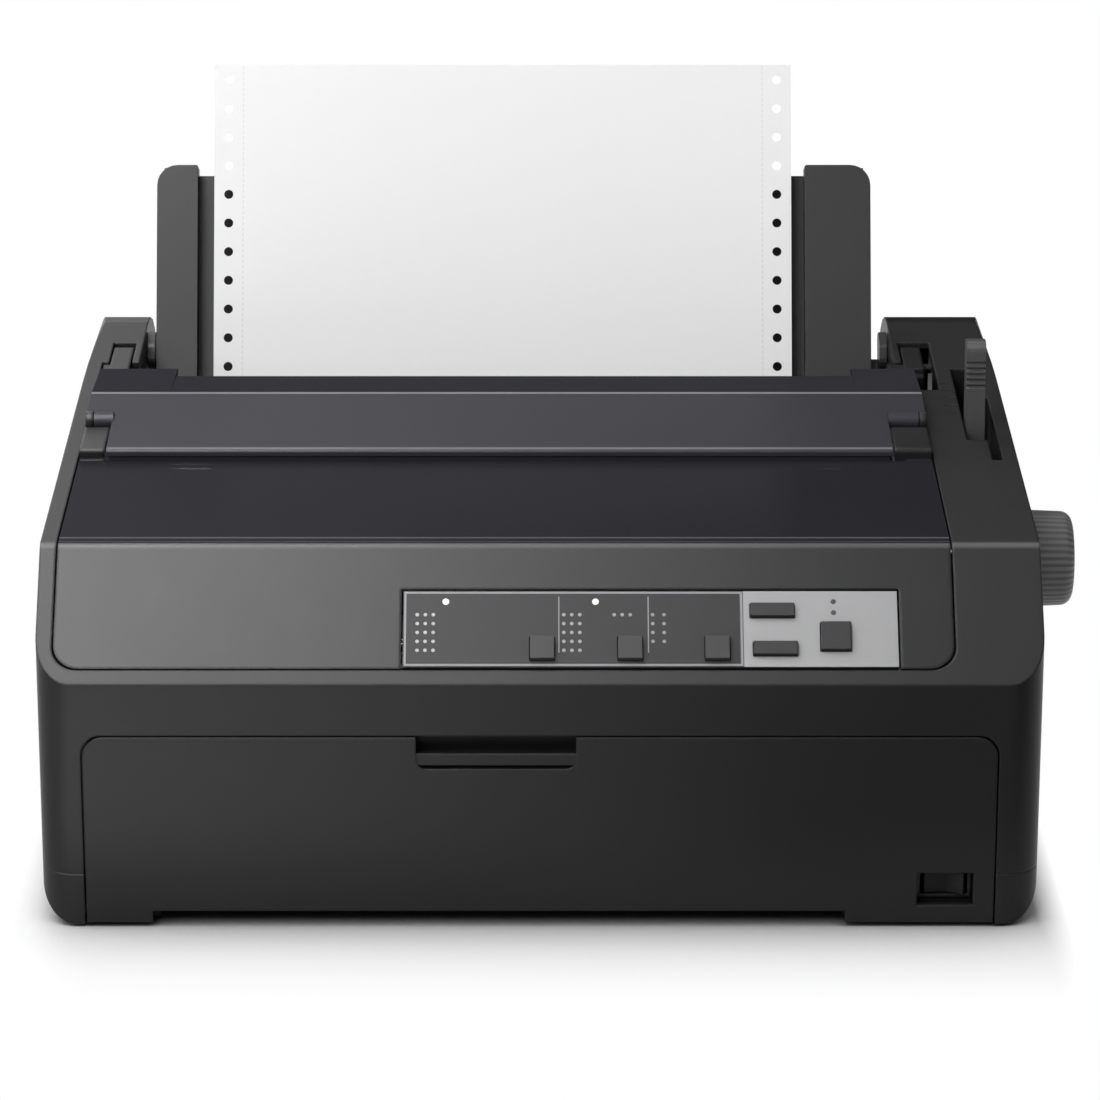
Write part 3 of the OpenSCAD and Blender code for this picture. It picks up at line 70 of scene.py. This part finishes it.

# Painted highlight lines on the two smoked pieces, lighter colour at the eject cover's ridge and
# lip and by the window's front: place along Y, half width, strength, lowest Z
EJECT_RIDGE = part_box("eject_cover")[1][1] - 0.0440
EJECT_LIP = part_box("eject_cover")[0][1] + 0.0022
EJECT_HIGHLIGHT_LINES = ((EJECT_RIDGE, 0.0011, 0.6, 0.160), (EJECT_LIP, 0.0010, 0.4, 0.1552))
WINDOW_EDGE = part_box("cover_window")[0][1]
WINDOW_HIGHLIGHT_LINES = ((WINDOW_EDGE + 0.0050, 0.0006, 0.3, 0.1), (WINDOW_EDGE + 0.0010, 0.0006, 0.1, 0.1))

# The platen knob turns about a line along X and has flutes round its rim
knob_low, knob_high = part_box("platen_knob")
KNOB_Y = (knob_low[1] + knob_high[1]) / 2
KNOB_Z = (knob_low[2] + knob_high[2]) / 2
KNOB_RADIUS = (knob_high[1] - knob_low[1]) / 2
KNOB_FLUTES = 44
FLUTE_LENGTH = 0.0035

# The film of the control panel: along X from the case front, and up the slope from its ridge
SILVER_FROM_X, SILVER_UP = 0.0787, (0.0076, 0.0394)
OUTLINE_OUTER_X, OUTLINE_OUTER_UP = (-0.0526, 0.0784), (0.0080, 0.0392)
OUTLINE_INNER_X, OUTLINE_INNER_UP = (-0.0518, 0.0775), (0.0088, 0.0384)
DIVIDERS_X, DIVIDER_HALF, DIVIDER_UP = (0.0073, 0.0419), 0.0002, (0.0135, 0.0372)
PRINT_SOFT = 0.00015

# The lamps, along X from the case front: the two bright ones, and the dark ones from here on
BRIGHT_LAMPS_X = ((-0.040, -0.033), (0.018, 0.025))
DARK_LAMPS_FROM_X = 0.0790
LAMP_SOFT = 0.0002

# The room cut out under the front cover, from the case front, which raises its lower edge
NOTCH_LOW = (-0.1512, -0.003, -0.002)
NOTCH_HIGH = (0.1192, 0.0065, 0.0066)
SAME_POINT = 0.000001


# ---------- shader maths ----------

class Sock:
    """A shader value: operators on it add Math nodes to its own tree."""

    def __init__(self, shader, out):
        self.shader = shader
        self.out = out

    def _math(self, op, a, b=None, clamp=False):
        inputs = {0: a} if b is None else {0: a, 1: b}
        return self.shader.node("ShaderNodeMath", {"operation": op, "use_clamp": clamp}, inputs)

    def __add__(self, o):
        return self._math("ADD", self, o)

    __radd__ = __add__

    def __sub__(self, o):
        return self._math("SUBTRACT", self, o)

    def __rsub__(self, o):
        return self._math("SUBTRACT", o, self)

    def __mul__(self, o):
        return self._math("MULTIPLY", self, o)

    __rmul__ = __mul__

    def __truediv__(self, o):
        return self._math("DIVIDE", self, o)

    def __pow__(self, o):
        return self._math("POWER", self, o)

    def __abs__(self):
        return self._math("ABSOLUTE", self)

    def frac(self):
        """The part after the decimal point: a saw from 0 to 1."""
        return self._math("FRACT", self)

    def clamp(self):
        """Held between 0 and 1."""
        return self._math("ADD", self, 0.0, clamp=True)

    def most(self, o):
        """The larger of the two."""
        return self._math("MAXIMUM", self, o)

    def step(self, edge, soft):
        """0 below edge, 1 above it, blended over a width of soft."""
        return ((self - edge) / soft + 0.5).clamp()

    def between(self, lo, hi, soft):
        """1 between lo and hi, 0 outside, each end blended over a width of soft."""
        return self.step(lo, soft) * (1.0 - self.step(hi, soft))


class Shader:
    """A node tree, with the nodes that the materials and the world of this scene use."""

    def __init__(self, tree):
        self.tree = tree

    def node(self, kind, settings=None, inputs=None, out=0):
        """Adds a node, sets its settings and then its inputs, and gives one output."""
        n = self.tree.nodes.new(kind)
        for key, val in (settings or {}).items():
            setattr(n, key, val)
        for key, val in (inputs or {}).items():
            self.put(n.inputs[key], val)
        return Sock(self, n.outputs[out])

    def outputs(self, kind, names, inputs=None):
        """Adds a node and gives its outputs of these names."""
        n = self.node(kind, {}, inputs).out.node
        return [Sock(self, n.outputs[name]) for name in names]

    def put(self, socket, val):
        """Links a shader value to the socket, or sets a plain one on it."""
        if isinstance(val, Sock):
            self.tree.links.new(val.out, socket)
        else:
            socket.default_value = val

    def coords(self):
        """Object coordinates, in metres."""
        return self.outputs("ShaderNodeTexCoord", ["Object"])[0]

    def axes(self):
        """X, Y and Z of the object coordinates."""
        return self.outputs("ShaderNodeSeparateXYZ", "XYZ", {0: self.coords()})

    def noise(self, scale, detail=2.0, rough=0.5, stretch=None):
        """Noise from 0 to 1, scale in cycles per metre, stretch multiplies it along each axis."""
        vec = self.coords()
        if stretch:
            vec = self.node("ShaderNodeMapping", {}, {"Vector": vec, "Scale": stretch})
        inputs = {"Vector": vec, "Scale": scale, "Detail": detail, "Roughness": rough}
        return self.node("ShaderNodeTexNoise", {}, inputs)

    def cells(self, scale):
        """Distance to the nearest of scattered points, scale of which lie along a metre.

        It is a share of their spacing.
        """
        return self.node("ShaderNodeTexVoronoi", {}, {"Vector": self.coords(), "Scale": scale})

    def mix(self, mask, a, b):
        """Colour a where mask is 0 and b where it is 1."""
        a, b = (v if isinstance(v, Sock) else (*v, 1.0) for v in (a, b))
        return self.node("ShaderNodeMix", {"data_type": "RGBA"}, {0: mask, 6: a, 7: b}, out=2)

    def shown_rays(self):
        """1 for rays from the camera, off a mirror or through glass, 0 for those that light."""
        seen, mirrored, through = self.outputs(
            "ShaderNodeLightPath", ("Is Camera Ray", "Is Glossy Ray", "Is Transmission Ray"))
        return seen.most(mirrored).most(through)


class Finish(Shader):
    """One material: a Principled surface and the nodes that feed it."""

    def __init__(self, name, color, rough, metal=0.0, shine=0.5, coat=0.0, coat_rough=0.03,
                 alpha=1.0):
        self.mat = bpy.data.materials.new(name)
        self.mat.use_nodes = True
        super().__init__(self.mat.node_tree)
        self.bsdf = self.tree.nodes["Principled BSDF"]
        self.set("Base Color", (*color, 1.0))
        self.set("Roughness", rough)
        self.set("Metallic", metal)
        self.set("Specular IOR Level", shine)
        self.set("Coat Weight", coat)
        self.set("Coat Roughness", coat_rough)
        self.set("Alpha", alpha)
        self.mat.diffuse_color = (*color, 1.0)

    def set(self, name, val):
        """Feeds one socket of the surface."""
        self.put(self.bsdf.inputs[name], val)

    def bump(self, height, depth, strength=1.0, edge=0.0):
        """Relief of height 0..1 over depth metres, edges rounded by edge metres in the shading."""
        inputs = {"Height": height, "Distance": depth, "Strength": strength}
        if edge:
            inputs["Normal"] = self.node("ShaderNodeBevel", {"samples": 4}, {"Radius": edge})
        self.set("Normal", self.node("ShaderNodeBump", {}, inputs))


def tint(color, times=1.0, plus=0.0):
    """The colour with each channel multiplied by times, and plus added."""
    return tuple(c * times + plus for c in color)


# ---------- kinds of finish ----------

def moulded(name, color, rough, shine, pitch=2200.0, edge=0.0005, wear=0.25, crease=None):
    """Injection moulded plastic: spark-eroded grain, slow changes of gloss, and rubbed patches.

    pitch is the grain's in cycles per metre. crease gives a painted highlight, a lighter colour
    along X where the edge would catch the light: its place along Y, half its width, and its lowest
    Z.
    """
    f = Finish(name, color, rough, shine=shine)
    cloud = f.noise(9.0, 3.0)
    fine = f.noise(pitch, 2.0, 0.6)
    speck = f.noise(pitch * 0.45, 1.0)
    rub = f.noise(38.0, 4.0, 0.7).step(0.62, 0.2)
    body = f.mix((cloud * 0.35 + rub * wear * 0.5).clamp(), color, tint(color, 1.35, 0.002))
    # Painted highlight: the colour is lighter along the crease, standing in for light caught on
    # the edge
    if crease:
        place, half, lowest = crease
        _, y, z = f.axes()
        painted_crease_highlight = y.between(place - half, place + half, half) * z.step(lowest, 0.0005)
        body = f.mix((painted_crease_highlight * (0.3 + cloud * 0.5)).clamp(), body, (0.12, 0.12, 0.121))
    f.set("Base Color", body)
    gloss_change = cloud * 0.1 - rub * wear * 0.12 + (fine - 0.5) * 0.12
    f.set("Roughness", (gloss_change + (rough - 0.05)).clamp())
    f.bump(fine * 0.6 + speck * 0.4, 0.00002, edge=edge)
    return f


def smoked(name, color, rough, gloss, highlight_lines, alpha=1.0, matt_from=None):
    """Dark moulding under a thin gloss, with faint dust, and hairlines along X.

    rough and gloss are the coat's. The coat ends where Y passes matt_from. Each of highlight_lines
    is a painted highlight, a lighter colour and more coat along X:
    its place along Y, half its width, its strength and its lowest Z.
    """
    f = Finish(name, color, 0.6, shine=0.0, coat_rough=rough, alpha=alpha)
    dust = f.noise(1400.0, 3.0, 0.7).step(0.66, 0.1)
    cloud = f.noise(14.0, 3.0)
    hair = f.noise(420.0, 2.0, 0.6, stretch=(0.06, 1.0, 1.0)).step(0.68, 0.05)
    _, y, z = f.axes()
    coat = 1.0 - cloud * 0.15 - dust * 0.2 - hair * 0.1
    if matt_from is not None:
        coat = coat * (1.0 - y.step(matt_from, 0.001) * 0.93)
    body = f.mix((dust * 0.12 + hair * 0.05 + cloud * 0.2).clamp(), color, tint(color, 1.0, 0.02))
    painted_highlight = 0.0
    # Painted highlight: lighter colour and more coat along each line, standing in for light caught
    # on an edge
    for place, half, strength, lowest in highlight_lines:
        line = y.between(place - half, place + half, half * 0.9) * z.step(lowest, 0.0002)
        painted_highlight = line * strength + painted_highlight
    painted_highlight = (painted_highlight * (0.75 + cloud * 0.5)).clamp()
    f.set("Base Color", f.mix(painted_highlight, body, (0.30, 0.30, 0.31)))
    f.set("Coat Weight", (coat * gloss + painted_highlight * 0.3).clamp())
    f.bump(cloud, 0.00002, 0.4, edge=0.0004)
    return f


def fluted(name, color):
    """The platen knob: flutes round its rim, which go by the angle about its axis, with painted
    shade darkening them.
    """
    f = Finish(name, color, 0.42, shine=0.3)
    _, y, z = f.axes()
    dy, dz = y - KNOB_Y, z - KNOB_Z
    angle = f.node("ShaderNodeMath", {"operation": "ARCTAN2"}, {0: dz, 1: dy})
    turn = angle * (KNOB_FLUTES / (2 * math.pi))
    rim = ((dy * dy + dz * dz) ** 0.5).step(KNOB_RADIUS - FLUTE_LENGTH, 0.001)
    flute_and_shade = (abs(turn.frac() - 0.5) * 2.0).step(0.5, 0.35)
    fine = f.noise(2000.0, 2.0, 0.6)
    cloud = f.noise(30.0, 3.0)
    body = f.mix((cloud * 0.4).clamp(), color, tint(color, 1.4))
    # Painted shade: the colour is darker in the flutes of the rim
    f.set("Base Color", f.mix((rim * flute_and_shade * 0.55).clamp(), body, tint(color, 0.2)))
    f.set("Roughness", (cloud * 0.08 + fine * 0.06 + 0.38).clamp())
    f.bump((1.0 - rim * flute_and_shade) * 0.9 + fine * 0.1, 0.0002, edge=0.0004)
    return f


def metal(name, color, rough, along=(0.03, 1.0, 1.0)):
    """Drawn or rolled metal with stains and fine streaks, which are long where along is small."""
    f = Finish(name, color, rough, metal=1.0)
    streak = f.noise(900.0, 3.0, 0.6, stretch=along)
    stain = f.noise(45.0, 4.0, 0.6)
    f.set("Base Color", f.mix((stain * 0.6).clamp(), color, tint(color, 0.72)))
    f.set("Roughness", (streak * 0.2 + stain * 0.08 + (rough - 0.1)).clamp())
    f.bump(streak, 0.000012, edge=0.0002)
    return f


def rubber(name, color, rough=0.7):
    """Rubber, or inked cloth: a ground surface and pale dust."""
    f = Finish(name, color, rough)
    grit = f.noise(1500.0, 3.0, 0.7)
    dust = f.noise(60.0, 4.0).step(0.58, 0.3)
    f.set("Base Color", f.mix((dust * 0.3).clamp(), color, tint(color, 1.0, 0.03)))
    f.set("Roughness", (grit * 0.16 + (rough - 0.08)).clamp())
    f.bump(grit, 0.00002, edge=0.0003)
    return f


def board(name, color):
    """Circuit board: a mask over copper tracks along Y, with duller spots of solder."""
    f = Finish(name, color, 0.35, coat=0.2)
    x = f.axes()[0]
    track = abs((x * 260.0).frac() - 0.5).step(0.36, 0.06) * f.noise(70.0, 0.0).step(0.5, 0.05)
    off_spots = f.cells(330.0).step(0.16, 0.04)
    f.set("Base Color", f.mix(track, tint(color, 0.7), tint(color, 1.5)))
    f.set("Roughness", ((1.0 - off_spots) * 0.2 + 0.28).clamp())
    f.bump(track, 0.00003)
    return f


def paper_finish(name):
    """White continuous paper: soft fibres, and the dashed tear lines beside the hole margins."""
    f = Finish(name, (0.80, 0.80, 0.80), 0.85, shine=0.2)
    x, _, z = f.axes()
    fibre = f.noise(1700.0, 4.0, 0.65)
    cloud = f.noise(25.0, 3.0)
    up_the_sheet = z / math.cos(PAPER_LEAN)
    left, right = (1.0 - abs(x - place).step(0.00022, 0.00012) for place in TEAR_LINE_X)
    dashes = abs((up_the_sheet * TEAR_DASHES_PER_M).frac() - 0.5).step(0.2, 0.1)
    tear = left.most(right) * dashes
    shade = f.mix((cloud * 0.5).clamp(), (0.79, 0.79, 0.79), (0.765, 0.765, 0.767))
    f.set("Base Color", f.mix((tear * 0.35).clamp(), shade, (0.45, 0.45, 0.45)))
    f.set("Roughness", (fibre * 0.15 + 0.8).clamp())
    f.bump(fibre * 0.5 + (1.0 - tear) * 0.5, 0.00003)
    return f


def panel_finish(name):
    """Printed film: a dark field with a pale outline and dividers, a silver field on its right."""
    f = Finish(name, (0.03, 0.03, 0.031), 0.35, shine=0.1)
    x, y, z = f.axes()
    over = x - CASE_FRONT[0]
    up = (y - CASE_FRONT[1]) * math.cos(SLOPE) + (z - RIDGE_Z) * math.sin(SLOPE)

    def field(over_range, up_range):
        return over.between(*over_range, PRINT_SOFT) * up.between(*up_range, PRINT_SOFT)

    silver = over.step(SILVER_FROM_X, PRINT_SOFT) * up.between(*SILVER_UP, PRINT_SOFT)
    inner = field(OUTLINE_INNER_X, OUTLINE_INNER_UP)
    lines = field(OUTLINE_OUTER_X, OUTLINE_OUTER_UP) * (1.0 - inner)
    for place in DIVIDERS_X:
        lines = lines.most(field((place - DIVIDER_HALF, place + DIVIDER_HALF), DIVIDER_UP))
    grain = f.noise(2600.0, 2.0, 0.6)
    cloud = f.noise(20.0, 3.0)
    dark = f.mix((cloud * 0.4).clamp(), (0.022, 0.022, 0.023), (0.034, 0.034, 0.035))
    with_lines = f.mix((lines * 0.85).clamp(), dark, (0.30, 0.30, 0.31))
    f.set("Base Color", f.mix(silver, with_lines, (0.24, 0.24, 0.244)))
    f.set("Metallic", silver * 0.12)
    f.set("Roughness", (cloud * 0.08 + 0.34 + (grain - 0.5) * 0.1).clamp())
    f.bump(grain * 0.7 + lines * 0.3, 0.00002, edge=0.0003)
    return f


def lamp_finish(name):
    """Small moulded lamp windows: two bright, the others grey, and dark in the silver field."""
    f = Finish(name, (0.55, 0.56, 0.52), 0.25)
    over = f.axes()[0] - CASE_FRONT[0]
    ripple = f.noise(900.0, 1.0)
    left, middle = (over.between(*span, LAMP_SOFT) for span in BRIGHT_LAMPS_X)
    dark = over.step(DARK_LAMPS_FROM_X, LAMP_SOFT)
    lit = f.mix(left.most(middle), (0.22, 0.22, 0.21), (0.78, 0.79, 0.74))
    f.set("Base Color", f.mix(dark, lit, (0.03, 0.03, 0.03)))
    f.set("Roughness", (ripple * 0.1 + 0.2).clamp())
    f.bump(ripple, 0.00001, 0.5)
    return f


# ---------- the finishes of this printer, and what has them ----------

CASE_COLOR = (0.0095, 0.0095, 0.0097)

DRESSED = (
    (moulded("case_plastic", CASE_COLOR, 0.40, 0.13, edge=0.0012, crease=CREASE_HIGHLIGHT),
     "lower_case upper_case front_cover power_rocker"),
    (moulded("cover_plastic", CASE_COLOR, 0.36, 0.14, edge=0.0016, crease=CREASE_HIGHLIGHT),
     "printer_cover"),
    (smoked("smoked_cover", (0.027, 0.0262, 0.0325), 0.34, 0.24, EJECT_HIGHLIGHT_LINES,
            matt_from=EJECT_RIDGE),
     "eject_cover"),
    (smoked("smoked_window", (0.018, 0.0174, 0.0225), 0.22, 0.13, WINDOW_HIGHLIGHT_LINES, alpha=0.93),
     "cover_window"),
    (moulded("guide_plastic", (0.011, 0.011, 0.011), 0.42, 0.18),
     "paper_guide left_edge_guide right_edge_guide"),
    (moulded("lever_plastic", (0.04, 0.04, 0.041), 0.42, 0.3),
     "release_lever"),
    (fluted("knob_plastic", (0.14, 0.14, 0.143)),
     "platen_knob"),
    (moulded("key_plastic", (0.036, 0.036, 0.037), 0.42, 0.1, pitch=3000.0),
     "left_key middle_key right_key"),
    (moulded("button_plastic", (0.016, 0.016, 0.0163), 0.4, 0.14, pitch=3000.0),
     "load_button line_button pause_button left_sprocket right_sprocket ribbon_knob"),
    (moulded("dark_plastic", (0.010, 0.010, 0.0105), 0.42, 0.3),
     "left_tractor right_tractor carriage ribbon_cartridge power_switch_body rear_connectors"),
    (moulded("gear_plastic", (0.70, 0.66, 0.54), 0.4, 0.4, wear=0.1),
     "platen_gear idler_gear tractor_gear platen_bushes"),
    (metal("sheet_steel", (0.56, 0.57, 0.58), 0.38),
     "base_frame left_side_frame right_side_frame frame_stay carriage_rail power_supply"),
    (metal("bright_steel", (0.66, 0.67, 0.68), 0.2, along=(1.0, 0.05, 0.05)),
     "platen_shaft tractor_drive_shaft tractor_guide_shaft carriage_shaft idler_stud belt_post "
     "case_screws"),
    (metal("motor_steel", (0.22, 0.23, 0.24), 0.4),
     "feed_motor carriage_motor print_head"),
    (metal("brass", (0.72, 0.53, 0.24), 0.28),
     "feed_pinion belt_pulley belt_idler"),
    (rubber("foot_rubber", (0.012, 0.012, 0.012)),
     "rubber_feet"),
    (rubber("platen_rubber", (0.014, 0.014, 0.015), 0.55),
     "platen_roller"),
    (rubber("belt_rubber", (0.01, 0.01, 0.01)),
     "drive_belt"),
    (rubber("ribbon_cloth", (0.006, 0.006, 0.009), 0.8),
     "ribbon_band"),
    (board("green_board", (0.03, 0.13, 0.06)),
     "main_board control_board"),
    (panel_finish("panel_film"),
     "control_panel"),
    (lamp_finish("lamp_window"),
     "status_lamps"),
    (paper_finish("paper"),
     "continuous_paper"),
)
FINISH = {node: finish for finish, nodes in DRESSED for node in nodes.split()}

for node_name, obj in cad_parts.items():
    obj.data.materials.clear()
    obj.data.materials.append(FINISH[node_name].mat)


# ---------- the piece that stands for the front cover ----------

def placed(name, data):
    """A new object of this name and data, linked to the scene."""
    obj = bpy.data.objects.new(name, data)
    bpy.context.collection.objects.link(obj)
    return obj


def box_cutter(low, high):
    """The box from low to high: corner i takes high on X, Y, Z where i has the bits 1, 2, 4."""
    corner = np.array([[i & 1, (i >> 1) & 1, (i >> 2) & 1] for i in range(8)], float)
    outward = [(0, 2, 3, 1), (4, 5, 7, 6), (0, 1, 5, 4), (2, 6, 7, 3), (0, 4, 6, 2), (1, 3, 7, 5)]
    mesh = bpy.data.meshes.new("cutter")
    mesh.from_pydata((low + corner * (high - low)).tolist(), [], outward)
    return placed("cutter", mesh)


def notched(name, node, low, high):
    """The node's own shape, its doubles merged, less the box from low to high."""
    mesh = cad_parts[node].data.copy()
    bm = bmesh.new()
    bm.from_mesh(mesh)
    bmesh.ops.remove_doubles(bm, verts=bm.verts, dist=SAME_POINT)
    bm.to_mesh(mesh)
    bm.free()
    piece = placed(name, mesh)
    cutter = box_cutter(low, high)
    cut = piece.modifiers.new("cut", "BOOLEAN")
    cut.operation, cut.object, cut.solver = "DIFFERENCE", cutter, "EXACT"
    bpy.context.view_layer.update()
    evaluated = piece.evaluated_get(bpy.context.evaluated_depsgraph_get())
    shaped = bpy.data.meshes.new_from_object(evaluated)
    piece.modifiers.clear()
    piece.data = shaped
    bpy.data.objects.remove(cutter)
    piece.data.materials.clear()
    piece.data.materials.append(FINISH[node].mat)
    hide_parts(node)
    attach(piece, node)


notched("front_cover_face", "front_cover", CASE_FRONT + NOTCH_LOW, CASE_FRONT + NOTCH_HIGH)


# ---------- floor and surroundings ----------

FLOOR_HALF = 3.0
# How far from the case the painted contact shadow on the floor reaches
CONTACT_SHADE_REACH = 0.055
# The floor turns to plain white over this distance from the case, sooner at its two sides
FADE = 0.072
SIDE_FADE_TIMES = 6.0
SOFT_WORLD_LEVEL = 0.33
WHITE = (1.0, 1.0, 1.0, 1.0)


def floor_sheet():
    """One square face on the table plane, its corners at plus and minus FLOOR_HALF."""
    mesh = bpy.data.meshes.new("floor")
    corners = [(-FLOOR_HALF, -FLOOR_HALF, 0.0), (FLOOR_HALF, -FLOOR_HALF, 0.0),
               (FLOOR_HALF, FLOOR_HALF, 0.0), (-FLOOR_HALF, FLOOR_HALF, 0.0)]
    mesh.from_pydata(corners, [], [(0, 1, 2, 3)])
    return placed("floor", mesh)


floor = floor_sheet()

# A pale floor with a painted contact shadow, its colour darkened by ambient occlusion close to the
# case, which also keeps its real shadow, and shows as white further away
pale = Finish("floor_white", (0.80, 0.80, 0.80), 0.5)
contact_shade = pale.node("ShaderNodeAmbientOcclusion", {"samples": 8}, {"Distance": CONTACT_SHADE_REACH}, out=1)
floor_color = pale.mix(pale.noise(3.0), (0.80, 0.80, 0.80), (0.815, 0.815, 0.815))
pale.set("Base Color", pale.mix((contact_shade * 1.1 - 0.1).clamp(), (0.05, 0.05, 0.05), floor_color))
floor_x, floor_y, _ = pale.axes()
past_side = (abs(floor_x - CASE_FRONT[0]) - CASE_HALF_WIDTH).most(0.0) * SIDE_FADE_TIMES
past_front = (abs(floor_y) - CASE_HALF_DEPTH).most(0.0)
away = ((past_side * past_side + past_front * past_front) ** 0.5).step(FADE / 2, FADE)
glow = pale.node("ShaderNodeEmission", {}, {"Color": WHITE, "Strength": 1.0})
surface = pale.node("ShaderNodeMixShader", {}, {
    0: pale.shown_rays() * away, 1: Sock(pale, pale.bsdf.outputs[0]), 2: glow})
pale.put(pale.tree.nodes["Material Output"].inputs["Surface"], surface)
floor.data.materials.append(pale.mat)

# The world lights softly, and shows as white
world = bpy.data.worlds.new("studio")
world.use_nodes = True
bpy.context.scene.world = world
around = Shader(world.node_tree)
background = around.tree.nodes["Background"]
level = around.node("ShaderNodeMix", {}, {0: around.shown_rays(), 2: SOFT_WORLD_LEVEL, 3: 1.0})
around.put(background.inputs["Strength"], level)
around.put(background.inputs["Color"], WHITE)


# ---------- reflectors, lamps and camera ----------

def card(name, a, b, c, left, right, x_left=-0.4, x_right=0.3):
    """A studio reflector that only gloss mirrors: the parallelogram a, b, c, a + c - b.

    Its strength goes from left at x_left to right at x_right in a straight line.
    """
    a, b, c = (np.array(v, float) for v in (a, b, c))
    mesh = bpy.data.meshes.new(name)
    mesh.from_pydata([v.tolist() for v in (a, b, c, a + c - b)], [], [(0, 1, 2, 3)])
    f = Finish(name + "_glow", (0.0, 0.0, 0.0), 1.0, shine=0.0)
    along = ((f.axes()[0] - x_left) / (x_right - x_left)).clamp()
    f.set("Emission Color", f.mix(along, (left, left, left), (right, right, right)))
    f.set("Emission Strength", 1.0)
    mesh.materials.append(f.mat)
    obj = placed(name, mesh)
    obj.visible_camera = obj.visible_diffuse = False
    obj.visible_shadow = obj.visible_transmission = False


card("back_card", (-1.6, 1.7, 0.02), (1.8, 1.7, 0.02), (1.8, 1.9, 1.5), 2.0, 0.0, -0.9, 0.1)
card("right_card", (0.9, -1.6, 0.01), (0.9, 1.7, 0.01), (1.5, 1.7, 1.9), 0.0, 0.0)
card("floor_card", (-0.30, -1.4, 0.004), (0.9, -1.4, 0.004), (0.9, -0.24, 0.004), 5.4, 0.0,
     -0.25, 0.10)
card("roof_card", (-1.1, -1.3, 1.35), (0.9, -1.3, 1.35), (0.9, 0.2, 1.65), 27.0, 0.0,
     -0.35, 0.07)


def softbox(name, place, target, size, power):
    """A rectangular area lamp of power watts at place, turned about X and then Z to target."""
    data = bpy.data.lights.new(name, "AREA")
    data.shape = "RECTANGLE"
    data.size, data.size_y = size
    data.energy = power
    lamp = placed(name, data)
    lamp.location = place
    back = np.array(place) - np.array(target)
    tilt = math.acos(back[2] / np.linalg.norm(back))
    lamp.rotation_euler = (tilt, 0.0, math.atan2(back[0], -back[1]))


softbox("key", (-1.0, -0.3, 1.6), (0.0, 0.0, 0.1), (0.9, 0.9), 14.0)
softbox("fill", (1.3, -0.9, 1.5), (0.0, 0.0, 0.15), (0.6, 0.6), 5.0)
softbox("rear", (-0.45, 1.5, 1.9), (0.0, 0.0, 0.1), (0.8, 0.7), 13.0)
softbox("side", (-1.4, -0.9, 0.7), (0.0, 0.0, 0.15), (0.6, 0.6), 5.0)
softbox("front", (-0.95, -2.4, 1.75), (0.0, 0.0, 0.15), (1.0, 0.8), 29.0)

# The camera as fitted to the photograph: its frame, focal length and shift in pixels
FRAME_PX, FOCAL_PX, SHIFT_PX = 1100.0, 4680.0, 10.0
SENSOR_MM = 36.0
CAMERA_PLACE = (-0.015, -1.87608, 0.69079)
DEGREES_DOWN = 17.5

cam_data = bpy.data.cameras.new("camera")
cam_data.sensor_width = SENSOR_MM
cam_data.lens = SENSOR_MM * FOCAL_PX / FRAME_PX
cam_data.shift_x = SHIFT_PX / FRAME_PX
cam_data.clip_end = 50.0
camera = placed("camera", cam_data)
camera.location = CAMERA_PLACE
camera.rotation_euler = (math.radians(90.0 - DEGREES_DOWN), 0.0, 0.0)
bpy.context.scene.camera = camera
bpy.context.scene.view_settings.view_transform = "Standard"
